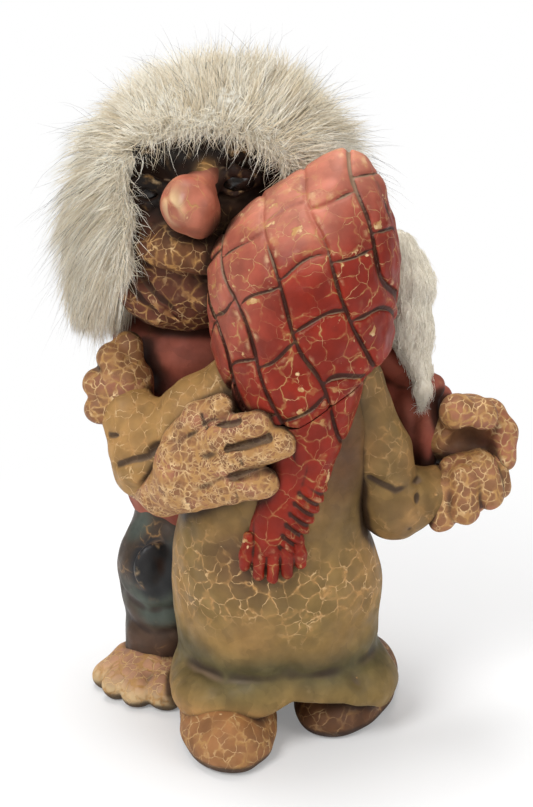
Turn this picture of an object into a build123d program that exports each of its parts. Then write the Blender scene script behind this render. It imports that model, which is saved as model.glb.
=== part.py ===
from build123d import *
from math import sqrt
import os

# Two cast trolls dance in an embrace: a tall one behind, in shirt and trousers, and one in front, in a dress
# and a headscarf. All sizes are in millimetres, +Z is up, and the viewer stands on the -Y side.

# Fit of the cast limbs: each has a round peg that is glued into a socket
PEG_RADIUS = 2.6
PEG_CLEARANCE = 0.15
KNUCKLE = 1.04  # a joint ball is this much fatter than the tubes that meet in it

# Dress: rings from the hem up to the neck, with the depth a share of the width
DRESS_X = 0.0
DRESS_Y = -12.5
DRESS_LEAN = 6.0  # the neck stands this far to the right of the hem
DRESS_BACK_LEAN = 7.5  # and this far nearer to the viewer
DRESS_FLATNESS = 0.82
HEM_Z = 10.0
HEM_HALF_WIDTH = 32.0
TUCK_Z = 20.0
TUCK_HALF_WIDTH = 29.0
SKIRT_Z = 45.0
SKIRT_HALF_WIDTH = 31.0
WAIST_Z = 72.0
WAIST_HALF_WIDTH = 28.5
CHEST_Z = 96.0
CHEST_HALF_WIDTH = 24.5
NECK_Z = 118.0
NECK_HALF_WIDTH = 16.0
DRESS_RINGS = [
    (HEM_Z, HEM_HALF_WIDTH),
    (TUCK_Z, TUCK_HALF_WIDTH),
    (SKIRT_Z, SKIRT_HALF_WIDTH),
    (WAIST_Z, WAIST_HALF_WIDTH),
    (CHEST_Z, CHEST_HALF_WIDTH),
    (NECK_Z, NECK_HALF_WIDTH),
]

# Shoes: eggs that are cut flat at the floor
SHOE_HALF_WIDTH = 13.5
SHOE_HALF_LENGTH = 27.0
SHOE_HALF_HEIGHT = 12.5
SHOE_LIFT = 6.0
LEFT_SHOE_X = -15.0
LEFT_SHOE_Y = -25.0
LEFT_SHOE_TURN = 3.0
RIGHT_SHOE_X = 22.0
RIGHT_SHOE_Y = -5.0
RIGHT_SHOE_TURN = -17.0

# Head and scarf of the troll in front, leaning over and turned away to the right
HER_HEAD = Vector(7.0, -18.0, 141.0)
HER_HEAD_RADII = Vector(24.5, 24.0, 33.0)
HER_HEAD_LEAN = 9.0
HER_HEAD_TURN = -42.0
SCARF_THICKNESS = 3.0
FACE_HALF_WIDTH = 15.0
FACE_HALF_HEIGHT = 21.0
HER_NOSE_RADIUS = 6.0
HER_NOSE_LENGTH = 8.5
HER_NOSE_DROP = 2.0
HER_EYE_RADIUS = 3.2
HER_EYE_SPREAD = 8.5
HER_EYE_RISE = 8.0
HER_EYE_DEPTH = 0.88  # the eyes sit at this share of the head's depth
HER_LOCK_RADII = Vector(8.5, 10.0, 25.5)
HER_LOCK = Vector(39.0, 0.0, 124.0)
HER_FRINGE_RADII = Vector(13.0, 6.0, 6.0)
HER_FRINGE_DEPTH = 0.8  # the brow hair sits at this share of the head's depth
HER_FRINGE_RISE = 0.9  # and at this share of the opening's half height

# Scarf tail that lies on the back, and the fringe at its end
TAIL_TOP_X = 9.0
TAIL_TOP_Z = 112.0
TAIL_MIDDLE_X = 9.5
TAIL_MIDDLE_Z = 91.0
TAIL_END_X = -2.0
TAIL_END_Z = 68.0
TAIL_LIFT = 2.5  # the tail's middle stands this far off the dress
TAIL_TOP_HALF_WIDTH = 15.0
TAIL_MIDDLE_HALF_WIDTH = 8.5
TAIL_END_HALF_WIDTH = 7.5
TAIL_HALF_THICKNESS = 5.0
TASSELS = 5
TASSEL_RADIUS = 1.7
TASSEL_LENGTH = 9.0
TASSEL_LIFT = 2.0

# Sleeves and hands of the troll in front
HER_SLEEVE_RADIUS = 9.0
HER_CUFF_RADIUS = 8.2
HER_SHOULDER_SPREAD = 14.0
HER_SHOULDER_Z = 113.0
HER_LEFT_ELBOW = Vector(-41.0, -16.0, 81.0)
HER_LEFT_WRIST = Vector(-45.0, -8.0, 96.0)
HER_RIGHT_ELBOW = Vector(33.0, -19.0, 71.0)
HER_RIGHT_WRIST = Vector(45.0, -14.0, 73.5)
HER_PALM_RADII = Vector(8.5, 7.5, 10.5)
HER_FINGER_RADIUS = 3.7
HER_FIST_RADII = Vector(8.5, 7.5, 9.5)
PALM_REACH = 0.7  # her palm's middle lies this share of its height past the cuff
FIST_REACH = 0.9  # her fist's middle lies this share of its width past the cuff
HER_FINGERS = 4
FINGER_PITCH = 1.5  # finger radii from one finger of the laid hand to the next
FINGER_REACH = 1.4  # they reach this share of the palm's depth over the shoulder
FIST_FINGERS = 3
FIST_PITCH = 1.7  # finger radii from one finger of the fist to the next
FIST_RISE = 0.5  # each knuckle of the fist stands this many finger radii above the last
FIST_DEPTH = 0.8  # the knuckles lie at this share of the fist's depth
FIST_CURL = 0.7  # the fingers hang down this share of the fist's height
FIST_TUCK = 0.4  # and back by this many finger radii

# Trousers: two legs that meet at the hip
HIP = Vector(-9.0, 25.0, 62.0)
HIP_RADII = Vector(36.0, 24.0, 20.0)
ANKLE_RADIUS = 12.5
KNEE_RADIUS = 14.0
THIGH_RADIUS = 17.0
ANKLE_Z = 10.0
KNEE_Z = 36.0
RIGHT_ANKLE = Vector(-34.0, 13.0, ANKLE_Z)
RIGHT_KNEE = Vector(-33.0, 16.0, KNEE_Z)
LEFT_ANKLE = Vector(8.0, 33.0, ANKLE_Z)
LEFT_KNEE = Vector(7.0, 30.0, KNEE_Z)
THIGH_SPREAD = 15.0

# Bare feet with toes, cut flat at the floor
FOOT_HALF_WIDTH = 13.0
FOOT_HALF_LENGTH = 18.0
FOOT_HALF_HEIGHT = 10.0
FOOT_LIFT = 5.0
FOOT_REACH = 3.0  # the foot's middle lies this far in front of the ankle
RIGHT_FOOT_TURN = -25.0
LEFT_FOOT_TURN = 6.0
TOES = 4
TOE_RADIUS = 4.6
TOE_REACH = 0.86  # the toes start at this share of the foot's half length
TOE_ARC = 0.4  # an outer toe lies this share of its offset further back
TOE_LIFT = 0.7  # a toe's middle stands this share of its radius off the floor

# Shirt: rings from the waist up to the neck
SHIRT_HALF_WIDTH = 37.0
SHIRT_SHOULDER_HALF_WIDTH = 33.0
SHIRT_FLATNESS = 0.66
SHIRT_BOTTOM_Z = 56.0
SHIRT_MIDDLE_Z = 78.0
SHIRT_SHOULDER_Z = 101.0
SHIRT_COLLAR_Z = 118.0
SHIRT_COLLAR_HALF_WIDTH = 19.0

# Head of the tall troll, its jaw, lip, bulb nose and eyes
HIS_HEAD = Vector(-22.0, 19.0, 151.0)
HIS_HEAD_RADII = Vector(28.5, 26.0, 35.0)
JAW = Vector(-26.0, 4.0, 133.5)
JAW_RADII = Vector(21.0, 14.0, 15.0)
LIP = Vector(-28.5, -8.0, 144.0)
LIP_RADII = Vector(10.5, 6.5, 6.5)
HIS_NOSE = Vector(-25.0, -17.0, 161.0)
HIS_NOSE_RADIUS = 8.8
NOSE_BRIDGE = Vector(-17.0, -3.0, 167.0)
NOSE_BRIDGE_RADIUS = 5.5
NOSE_NECK = 0.75  # the bridge starts at this share of the bulb's radius
HIS_EYE_RADIUS = 4.6
HIS_RIGHT_EYE = Vector(-36.5, -1.5, 161.0)
HIS_LEFT_EYE = Vector(-12.0, -3.0, 163.0)

# Wig: a hide cap on the head, its fur, and the long lock at the cheek
HIDE_THICKNESS = 1.5
FACE_GAP_HALF_WIDTH = 25.0
FACE_GAP_HALF_HEIGHT = 33.0
FACE_GAP_Z = 141.0
FACE_GAP_DEPTH = 12.0  # the fur leaves the face free in front of this Y
FUR = Vector(-20.0, 19.0, 158.0)
FUR_RADII = Vector(48.8, 33.0, 40.0)
FUR_ROOM = 6.0  # the fur stays this far from the other face
SIDE_LOCK_TOP = Vector(-53.0, 8.0, 156.0)
SIDE_LOCK_TIP = Vector(-49.0, 4.0, 121.0)
SIDE_LOCK_RADIUS = 12.0
SIDE_LOCK_TIP_RADIUS = 7.0

# Sleeves and hands of the tall troll
HIS_SLEEVE_RADIUS = 9.5
HIS_CUFF_RADIUS = 7.6
HIS_SHOULDER_SPREAD = 20.0
HIS_SHOULDER_Z = 102.0
HIS_RIGHT_ELBOW = Vector(-47.0, 4.0, 73.0)
HIS_RIGHT_WRIST = Vector(-33.0, -27.0, 77.0)
HIS_LEFT_ELBOW = Vector(36.0, 10.0, 97.0)
HIS_LEFT_WRIST = Vector(43.5, -1.0, 84.0)
BACK_KNUCKLES = Vector(-22.5, -33.0, 92.0)
BACK_PALM_RADIUS = 8.0
BACK_WRIST_RADIUS = 6.8
HIS_FINGER_RADIUS = 4.0
FINGERTIP_X = (-16.0, -6.0, 0.5, -3.5)
FINGERTIP_Z = (109.0, 106.0, 99.0, 87.5)
FINGER_ROOT = 0.2  # a finger starts this share of the way from the knuckles to its tip
FINGER_LIFT = 2.5  # the middle of a fingertip stands this far off the dress
OPEN_PALM = Vector(54.5, -4.0, 84.5)
OPEN_PALM_RADII = Vector(12.0, 9.0, 8.5)
THUMB = Vector(53.0, -13.0, 96.5)
THUMB_RADII = Vector(8.0, 7.0, 7.0)
OUTER_FINGERS = Vector(64.0, -7.0, 86.0)
OUTER_FINGERS_RADII = Vector(4.8, 8.0, 9.5)

# Where the pegs run
WRIST_PEG_DEPTH = 8.0
ARM_PEG_SHARE = 0.6  # an arm's peg goes this share of the way to the middle of the body
NECK_PEG_SHARE = 0.4  # a neck's peg starts this share of the head's half height below its middle
SHOE_PEG_SHARE = 0.35  # a shoe's peg stands this share of the way to the middle of the dress


def egg(centre, radii, turn=(0, 0, 0), mode=Mode.ADD):
    """A smooth egg with its own radius along each axis, turned about its centre."""
    ball = scale(Sphere(1, mode=Mode.PRIVATE), by=tuple(radii), mode=Mode.PRIVATE)
    add(ball.moved(Location(tuple(centre), turn)), mode=mode)


def ball(centre, radius, turn=0, mode=Mode.ADD):
    """A ball about a point."""
    with Locations(Location(tuple(centre), (0, 0, turn))):
        Sphere(radius, mode=mode)


def tube(start, end, start_radius, end_radius, mode=Mode.ADD):
    """A straight round tube that tapers from one point to the other."""
    rings = []
    for point, radius in ((start, start_radius), (end, end_radius)):
        with BuildSketch(Plane(origin=point, z_dir=end - start)) as ring:
            Circle(radius)
        rings.append(ring.sketch)
    loft(rings, ruled=True, mode=mode)


def finger(start, end, radius):
    """A finger with a rounded tip."""
    tube(start, end, radius, radius)
    ball(end, radius * KNUCKLE)


def sleeve(shoulder, elbow, wrist, radius, cuff_radius):
    """A bent sleeve with a flat cuff at the wrist."""
    tube(shoulder, elbow, radius, radius)
    tube(elbow, wrist, radius, cuff_radius)
    ball(elbow, radius * KNUCKLE)


def stack(rings):
    """A smooth body through level rings, each a middle point, a half width and a half depth."""
    sections = []
    for middle, half_width, half_depth in rings:
        with BuildSketch(Plane(middle)) as ring:
            Ellipse(half_width, half_depth)
        sections.append(ring.sketch)
    loft(sections)


def peg(inside, root, mode=Mode.ADD):
    """A peg from inside the limb down to its root in the piece that carries it."""
    radius = PEG_RADIUS if mode == Mode.ADD else PEG_RADIUS + PEG_CLEARANCE
    reach = (root - inside).normalized() * (radius - PEG_RADIUS)
    tube(inside, root + reach, radius, radius, mode=mode)


def cut_by(*forms):
    """Take the room of other pieces away from the open part."""
    for form in forms:
        add(form.part, mode=Mode.SUBTRACT)


def keep_main(builder):
    """Keep the largest solid where a cut leaves chips behind."""
    main = builder.part.solids().sort_by(SortBy.VOLUME)[-1]
    add(main, mode=Mode.REPLACE)


def turned(offset, degrees):
    """An offset turned about the upright axis."""
    return offset.rotate(Axis.Z, degrees)


def in_her_face(sideways, forward, upward):
    """A point given from the middle of her head: sideways, out of the face and up."""
    return HER_HEAD + turned(Vector(sideways, forward, upward), HER_HEAD_TURN)


def dress_middle(height):
    """The middle of the dress at a height."""
    rise = height / NECK_Z
    return Vector(DRESS_X + DRESS_LEAN * rise, DRESS_Y - DRESS_BACK_LEAN * rise, height)


def dress_ring(height, half_width):
    """One level ring of the dress."""
    return dress_middle(height), half_width, half_width * DRESS_FLATNESS


def dress_half_width(height):
    """The half width of the dress at a height, between its rings."""
    for low, high in zip(DRESS_RINGS, DRESS_RINGS[1:]):
        if height <= high[0]:
            break
    share = (height - low[0]) / (high[0] - low[0])
    return low[1] + (high[1] - low[1]) * share


def on_her_back(x, height, lift):
    """A point on the back of the dress, lifted off it."""
    middle = dress_middle(height)
    half_width = dress_half_width(height)
    across = min(1, abs(x - middle.X) / half_width)
    depth = half_width * DRESS_FLATNESS * sqrt(1 - across * across)
    return Vector(x, middle.Y - depth - lift, height)


def shirt_ring(height, half_width):
    """One level ring of the shirt, which leans forward to the head as it rises."""
    rise = (height - SHIRT_BOTTOM_Z) / (HIS_HEAD.Z - SHIRT_BOTTOM_Z)
    middle = HIP + (HIS_HEAD - HIP) * rise
    return Vector(middle.X, middle.Y, height), half_width, half_width * SHIRT_FLATNESS


def shoe(x, y, turn):
    """A plain rounded shoe with a flat sole."""
    egg((x, y, SHOE_LIFT), (SHOE_HALF_WIDTH, SHOE_HALF_LENGTH, SHOE_HALF_HEIGHT), (0, 0, turn))
    split(bisect_by=Plane.XY, keep=Keep.TOP)


def shoe_peg(x, y, mode=Mode.ADD):
    """The upright peg between a shoe and the dress, nearer to the middle of the dress."""
    shoe_middle = Vector(x, y, SHOE_LIFT)
    foot = shoe_middle + (dress_middle(SHOE_LIFT) - shoe_middle) * SHOE_PEG_SHARE
    peg(foot, Vector(foot.X, foot.Y, TUCK_Z), mode=mode)


def bare_foot(ankle, turn):
    """A broad foot with a row of toes and a flat sole."""
    middle = Vector(ankle.X, ankle.Y, FOOT_LIFT) + turned(Vector(0, -FOOT_REACH, 0), turn)
    egg(middle, (FOOT_HALF_WIDTH, FOOT_HALF_LENGTH, FOOT_HALF_HEIGHT), (0, 0, turn))
    for toe in range(TOES):
        sideways = (toe - (TOES - 1) / 2) * 2 * (FOOT_HALF_WIDTH - TOE_RADIUS / 2) / TOES
        forward = -FOOT_HALF_LENGTH * TOE_REACH + abs(sideways) * TOE_ARC
        upward = TOE_RADIUS * TOE_LIFT - FOOT_LIFT
        ball(middle + turned(Vector(sideways, forward, upward), turn), TOE_RADIUS)
    split(bisect_by=Plane.XY, keep=Keep.TOP)


def cuff_plane(elbow, wrist):
    """The flat end of a sleeve, facing the hand."""
    return Plane(origin=wrist, z_dir=wrist - elbow)


def wrist_peg(palm, elbow, wrist, mode=Mode.ADD):
    """The peg from a palm into the sleeve."""
    peg(palm, wrist + (elbow - wrist).normalized() * WRIST_PEG_DEPTH, mode=mode)


def arm_peg(inside, body_middle, mode=Mode.ADD):
    """The peg from inside a sleeve towards the middle of the body."""
    peg(inside, inside + (body_middle - inside) * ARM_PEG_SHARE, mode=mode)


def face_gap(mode=Mode.SUBTRACT):
    """The room in front of the tall troll's face that the fur leaves free."""
    back = Plane(origin=(HIS_HEAD.X, FACE_GAP_DEPTH, FACE_GAP_Z), z_dir=(0, -1, 0), x_dir=(1, 0, 0))
    with BuildSketch(back) as opening:
        Ellipse(FACE_GAP_HALF_WIDTH, FACE_GAP_HALF_HEIGHT)
    extrude(opening.sketch, amount=FUR_RADII.Y * 2, mode=mode)


# Points that several pieces share
her_left_shoulder = dress_middle(HER_SHOULDER_Z) - Vector(HER_SHOULDER_SPREAD, 0, 0)
her_right_shoulder = dress_middle(HER_SHOULDER_Z) + Vector(HER_SHOULDER_SPREAD, 0, 0)
his_right_shoulder = Vector(HIP.X - HIS_SHOULDER_SPREAD, HIP.Y, HIS_SHOULDER_Z)
his_left_shoulder = Vector(HIP.X + HIS_SHOULDER_SPREAD, HIP.Y, HIS_SHOULDER_Z)
her_left_arm = (her_left_shoulder + HER_LEFT_ELBOW) * 0.5
back_palm = (HIS_RIGHT_WRIST + BACK_KNUCKLES) * 0.5
her_palm = HER_LEFT_WRIST + (HER_LEFT_WRIST - HER_LEFT_ELBOW).normalized() * HER_PALM_RADII.Z * PALM_REACH
her_fist = HER_RIGHT_WRIST + (HER_RIGHT_WRIST - HER_RIGHT_ELBOW).normalized() * HER_FIST_RADII.X * FIST_REACH
tail_top = on_her_back(TAIL_TOP_X, TAIL_TOP_Z, TAIL_LIFT)
tail_middle = on_her_back(TAIL_MIDDLE_X, TAIL_MIDDLE_Z, TAIL_LIFT)
tail_end = on_her_back(TAIL_END_X, TAIL_END_Z, TAIL_LIFT)
her_chest = dress_middle(CHEST_Z)
her_waist = dress_middle(WAIST_Z)
his_chest = Vector(HIP.X, HIP.Y, SHIRT_SHOULDER_Z)
his_belly = Vector(HIP.X, HIP.Y, SHIRT_MIDDLE_Z)
her_nose = in_her_face(0, HER_HEAD_RADII.Y + HER_NOSE_LENGTH / 2, -HER_NOSE_DROP)
her_eye_forward = HER_HEAD_RADII.Y * HER_EYE_DEPTH
her_brow = in_her_face(0, HER_HEAD_RADII.Y * HER_FRINGE_DEPTH, FACE_HALF_HEIGHT * HER_FRINGE_RISE)
her_head_turn = (0, HER_HEAD_LEAN, 0)
scarf_radii = HER_HEAD_RADII + Vector(SCARF_THICKNESS, SCARF_THICKNESS, SCARF_THICKNESS)
hide_radii = HIS_HEAD_RADII + Vector(HIDE_THICKNESS, HIDE_THICKNESS, HIDE_THICKNESS)
his_neck = (
    HIS_HEAD - Vector(0, 0, HIS_HEAD_RADII.Z * NECK_PEG_SHARE),
    Vector(HIS_HEAD.X, HIS_HEAD.Y, SHIRT_SHOULDER_Z),
)
her_neck = (HER_HEAD - Vector(0, 0, HER_HEAD_RADII.Z * NECK_PEG_SHARE), her_chest)
waist_peg = (Vector(HIP.X, HIP.Y, SHIRT_BOTTOM_Z - HIP_RADII.Z / 2), Vector(HIP.X, HIP.Y, SHIRT_MIDDLE_Z))

# Outer form of the dress, before its sockets
with BuildPart() as dress_form:
    stack([dress_ring(height, half_width) for height, half_width in DRESS_RINGS])

# Outer form of the shirt, pressed against the dress
with BuildPart() as shirt_form:
    stack([
        shirt_ring(SHIRT_BOTTOM_Z, SHIRT_HALF_WIDTH),
        shirt_ring(SHIRT_MIDDLE_Z, SHIRT_HALF_WIDTH),
        shirt_ring(SHIRT_SHOULDER_Z, SHIRT_SHOULDER_HALF_WIDTH),
        shirt_ring(SHIRT_COLLAR_Z, SHIRT_COLLAR_HALF_WIDTH),
    ])
    cut_by(dress_form)

# Trousers under the shirt, with a peg up into it
with BuildPart() as trousers_form:
    egg(HIP, HIP_RADII)
    for side, ankle, knee in ((-1, RIGHT_ANKLE, RIGHT_KNEE), (1, LEFT_ANKLE, LEFT_KNEE)):
        thigh = HIP + Vector(side * THIGH_SPREAD, 0, 0)
        tube(ankle, knee, ANKLE_RADIUS, KNEE_RADIUS)
        ball(knee, KNEE_RADIUS * KNUCKLE)
        tube(knee, thigh, KNEE_RADIUS, THIGH_RADIUS)
    cut_by(dress_form, shirt_form)
    keep_main(trousers_form)
    peg(*waist_peg)

# Shoes under the hem
with BuildPart() as her_left_shoe:
    shoe(LEFT_SHOE_X, LEFT_SHOE_Y, LEFT_SHOE_TURN)
    cut_by(dress_form)
    shoe_peg(LEFT_SHOE_X, LEFT_SHOE_Y)

with BuildPart() as her_right_shoe:
    shoe(RIGHT_SHOE_X, RIGHT_SHOE_Y, RIGHT_SHOE_TURN)
    cut_by(dress_form, her_left_shoe)
    shoe_peg(RIGHT_SHOE_X, RIGHT_SHOE_Y)

# Feet under the trouser legs
with BuildPart() as his_right_foot:
    bare_foot(RIGHT_ANKLE, RIGHT_FOOT_TURN)
    cut_by(trousers_form, dress_form, her_left_shoe)
    keep_main(his_right_foot)
    peg(Vector(RIGHT_ANKLE.X, RIGHT_ANKLE.Y, FOOT_LIFT), RIGHT_KNEE)

with BuildPart() as his_left_foot:
    bare_foot(LEFT_ANKLE, LEFT_FOOT_TURN)
    cut_by(trousers_form, dress_form, her_left_shoe, her_right_shoe)
    keep_main(his_left_foot)
    peg(Vector(LEFT_ANKLE.X, LEFT_ANKLE.Y, FOOT_LIFT), LEFT_KNEE)

with BuildPart() as his_trousers:
    add(trousers_form.part)
    peg(Vector(RIGHT_ANKLE.X, RIGHT_ANKLE.Y, FOOT_LIFT), RIGHT_KNEE, mode=Mode.SUBTRACT)
    peg(Vector(LEFT_ANKLE.X, LEFT_ANKLE.Y, FOOT_LIFT), LEFT_KNEE, mode=Mode.SUBTRACT)

# Head of the tall troll: skull, jaw and thick lip in one casting
with BuildPart() as his_head_form:
    egg(HIS_HEAD, HIS_HEAD_RADII)
    egg(JAW, JAW_RADII)
    egg(LIP, LIP_RADII)
    cut_by(shirt_form, dress_form)
    keep_main(his_head_form)

# Eyes, set into the head
with BuildPart() as his_right_eye:
    ball(HIS_RIGHT_EYE, HIS_EYE_RADIUS)

with BuildPart() as his_left_eye:
    ball(HIS_LEFT_EYE, HIS_EYE_RADIUS)

# Bulb nose with its bridge, pegged into the face
with BuildPart() as his_nose:
    ball(HIS_NOSE, HIS_NOSE_RADIUS)
    tube(HIS_NOSE, NOSE_BRIDGE, HIS_NOSE_RADIUS * NOSE_NECK, NOSE_BRIDGE_RADIUS)
    cut_by(his_head_form, his_left_eye, his_right_eye)
    keep_main(his_nose)
    peg(HIS_NOSE, Vector(HIS_NOSE.X, HIS_HEAD.Y - HIS_HEAD_RADII.Y / 2, HIS_NOSE.Z))

with BuildPart() as his_head:
    add(his_head_form.part)
    cut_by(his_left_eye, his_right_eye)
    peg(HIS_NOSE, Vector(HIS_NOSE.X, HIS_HEAD.Y - HIS_HEAD_RADII.Y / 2, HIS_NOSE.Z), mode=Mode.SUBTRACT)
    peg(*his_neck)

# Head of the troll in front, her cheek pressed against the taller one
with BuildPart() as her_head_form:
    egg(HER_HEAD, HER_HEAD_RADII, her_head_turn)
    cut_by(dress_form, shirt_form, his_head_form)
    keep_main(her_head_form)

with BuildPart() as her_left_eye:
    ball(in_her_face(-HER_EYE_SPREAD, her_eye_forward, HER_EYE_RISE), HER_EYE_RADIUS, HER_HEAD_TURN)

with BuildPart() as her_right_eye:
    ball(in_her_face(HER_EYE_SPREAD, her_eye_forward, HER_EYE_RISE), HER_EYE_RADIUS, HER_HEAD_TURN)

with BuildPart() as her_nose_piece:
    egg(her_nose, (HER_NOSE_RADIUS, HER_NOSE_LENGTH, HER_NOSE_RADIUS), (0, 0, HER_HEAD_TURN))
    cut_by(her_head_form, his_head_form)
    keep_main(her_nose_piece)
    peg(her_nose, in_her_face(0, HER_HEAD_RADII.Y / 2, -HER_NOSE_DROP))

with BuildPart() as her_head:
    add(her_head_form.part)
    cut_by(her_left_eye, her_right_eye)
    peg(her_nose, in_her_face(0, HER_HEAD_RADII.Y / 2, -HER_NOSE_DROP), mode=Mode.SUBTRACT)
    peg(*her_neck)

# Headscarf: a shell round the head that leaves the face free
with BuildPart() as headscarf:
    egg(HER_HEAD, scarf_radii, her_head_turn)
    egg(HER_HEAD, HER_HEAD_RADII, her_head_turn, mode=Mode.SUBTRACT)
    egg(in_her_face(0, scarf_radii.Y, 0), (FACE_HALF_WIDTH, scarf_radii.Y, FACE_HALF_HEIGHT),
        (0, 0, HER_HEAD_TURN), mode=Mode.SUBTRACT)
    cut_by(dress_form, shirt_form, his_head_form, his_nose, his_left_eye, her_nose_piece)
    peg(*her_neck, mode=Mode.SUBTRACT)
    keep_main(headscarf)

# Scarf tail down the back, and the fringe at its end
with BuildPart() as scarf_tail:
    stack([
        (tail_end, TAIL_END_HALF_WIDTH, TAIL_HALF_THICKNESS),
        (tail_middle, TAIL_MIDDLE_HALF_WIDTH, TAIL_HALF_THICKNESS),
        (tail_top, TAIL_TOP_HALF_WIDTH, TAIL_HALF_THICKNESS),
    ])
    cut_by(dress_form, headscarf, her_head_form)
    keep_main(scarf_tail)

with BuildPart() as scarf_fringe:
    ends = []
    for tassel in range(TASSELS):
        x = TAIL_END_X + (tassel - (TASSELS - 1) / 2) * 2 * TAIL_END_HALF_WIDTH / TASSELS
        top = on_her_back(x, TAIL_END_Z, TASSEL_LIFT)
        finger(top, on_her_back(x, TAIL_END_Z - TASSEL_LENGTH, TASSEL_LIFT), TASSEL_RADIUS)
        ends.append(top)
    tube(ends[0], ends[-1], TASSEL_RADIUS, TASSEL_RADIUS)
    cut_by(scarf_tail, dress_form)
    keep_main(scarf_fringe)

# Arm of the tall troll round her back
with BuildPart() as his_right_sleeve:
    sleeve(his_right_shoulder, HIS_RIGHT_ELBOW, HIS_RIGHT_WRIST, HIS_SLEEVE_RADIUS, HIS_CUFF_RADIUS)
    cut_by(shirt_form, trousers_form, dress_form, his_head_form)
    keep_main(his_right_sleeve)
    wrist_peg(back_palm, HIS_RIGHT_ELBOW, HIS_RIGHT_WRIST, mode=Mode.SUBTRACT)
    arm_peg(HIS_RIGHT_ELBOW, his_belly)

# Hand spread on her back: its fingers fan out from the palm
with BuildPart() as his_right_hand:
    ball(HIS_RIGHT_WRIST, BACK_WRIST_RADIUS * KNUCKLE)
    tube(HIS_RIGHT_WRIST, BACK_KNUCKLES, BACK_WRIST_RADIUS, BACK_PALM_RADIUS)
    ball(BACK_KNUCKLES, BACK_PALM_RADIUS * KNUCKLE)
    for x, height in zip(FINGERTIP_X, FINGERTIP_Z):
        tip = on_her_back(x, height, FINGER_LIFT)
        finger(BACK_KNUCKLES + (tip - BACK_KNUCKLES) * FINGER_ROOT, tip, HIS_FINGER_RADIUS)
    split(bisect_by=cuff_plane(HIS_RIGHT_ELBOW, HIS_RIGHT_WRIST), keep=Keep.TOP)
    wrist_peg(back_palm, HIS_RIGHT_ELBOW, HIS_RIGHT_WRIST)
    cut_by(scarf_tail, dress_form)
    keep_main(his_right_hand)

# Sleeves of the troll in front
with BuildPart() as her_left_sleeve:
    sleeve(her_left_shoulder, HER_LEFT_ELBOW, HER_LEFT_WRIST, HER_SLEEVE_RADIUS, HER_CUFF_RADIUS)
    cut_by(dress_form, shirt_form, trousers_form, headscarf, her_head_form, scarf_tail, his_head_form)
    cut_by(his_right_sleeve, his_right_hand)
    keep_main(her_left_sleeve)
    wrist_peg(her_palm, HER_LEFT_ELBOW, HER_LEFT_WRIST, mode=Mode.SUBTRACT)
    arm_peg(her_left_arm, her_chest)

with BuildPart() as her_right_sleeve:
    sleeve(her_right_shoulder, HER_RIGHT_ELBOW, HER_RIGHT_WRIST, HER_SLEEVE_RADIUS, HER_CUFF_RADIUS)
    cut_by(dress_form, shirt_form, headscarf, her_head_form, scarf_tail)
    keep_main(her_right_sleeve)
    wrist_peg(her_fist, HER_RIGHT_ELBOW, HER_RIGHT_WRIST, mode=Mode.SUBTRACT)
    arm_peg(HER_RIGHT_ELBOW, her_waist)

with BuildPart() as her_dress:
    add(dress_form.part)
    shoe_peg(LEFT_SHOE_X, LEFT_SHOE_Y, mode=Mode.SUBTRACT)
    shoe_peg(RIGHT_SHOE_X, RIGHT_SHOE_Y, mode=Mode.SUBTRACT)
    arm_peg(her_left_arm, her_chest, mode=Mode.SUBTRACT)
    arm_peg(HER_RIGHT_ELBOW, her_waist, mode=Mode.SUBTRACT)
    peg(*her_neck, mode=Mode.SUBTRACT)

# Arm of the tall troll that is stretched out to the side
with BuildPart() as his_left_sleeve:
    sleeve(his_left_shoulder, HIS_LEFT_ELBOW, HIS_LEFT_WRIST, HIS_SLEEVE_RADIUS, HIS_CUFF_RADIUS)
    cut_by(shirt_form, dress_form, her_right_sleeve, headscarf, his_head_form)
    keep_main(his_left_sleeve)
    wrist_peg(OPEN_PALM, HIS_LEFT_ELBOW, HIS_LEFT_WRIST, mode=Mode.SUBTRACT)
    arm_peg(HIS_LEFT_ELBOW, his_chest)

with BuildPart() as his_shirt:
    add(shirt_form.part)
    peg(*waist_peg, mode=Mode.SUBTRACT)
    peg(*his_neck, mode=Mode.SUBTRACT)
    arm_peg(HIS_RIGHT_ELBOW, his_belly, mode=Mode.SUBTRACT)
    arm_peg(HIS_LEFT_ELBOW, his_chest, mode=Mode.SUBTRACT)

# Hand on the taller one's shoulder
with BuildPart() as her_left_hand:
    egg(her_palm, HER_PALM_RADII)
    for row in range(HER_FINGERS):
        start = her_palm + Vector(-HER_PALM_RADII.X / 2, 0, HER_FINGER_RADIUS * FINGER_PITCH * (row - 1))
        tip = start + Vector(0, HER_PALM_RADII.Y * FINGER_REACH, HER_FINGER_RADIUS)
        finger(start, tip, HER_FINGER_RADIUS)
    split(bisect_by=cuff_plane(HER_LEFT_ELBOW, HER_LEFT_WRIST), keep=Keep.TOP)
    wrist_peg(her_palm, HER_LEFT_ELBOW, HER_LEFT_WRIST)
    cut_by(his_right_sleeve, shirt_form, his_head_form)
    keep_main(her_left_hand)

# Curled fist that holds the taller one's open hand
with BuildPart() as her_right_hand:
    egg(her_fist, HER_FIST_RADII)
    for row in range(FIST_FINGERS):
        sideways = HER_FINGER_RADIUS * (FIST_PITCH * row - 1)
        upward = HER_FINGER_RADIUS * FIST_RISE * row
        joint = her_fist + Vector(sideways, -HER_FIST_RADII.Y * FIST_DEPTH, upward)
        tip = joint + Vector(0, HER_FINGER_RADIUS * FIST_TUCK, -HER_FIST_RADII.Z * FIST_CURL)
        ball(joint, HER_FINGER_RADIUS * KNUCKLE)
        finger(joint, tip, HER_FINGER_RADIUS)
    split(bisect_by=cuff_plane(HER_RIGHT_ELBOW, HER_RIGHT_WRIST), keep=Keep.TOP)
    wrist_peg(her_fist, HER_RIGHT_ELBOW, HER_RIGHT_WRIST)
    cut_by(his_left_sleeve)
    keep_main(her_right_hand)

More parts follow.
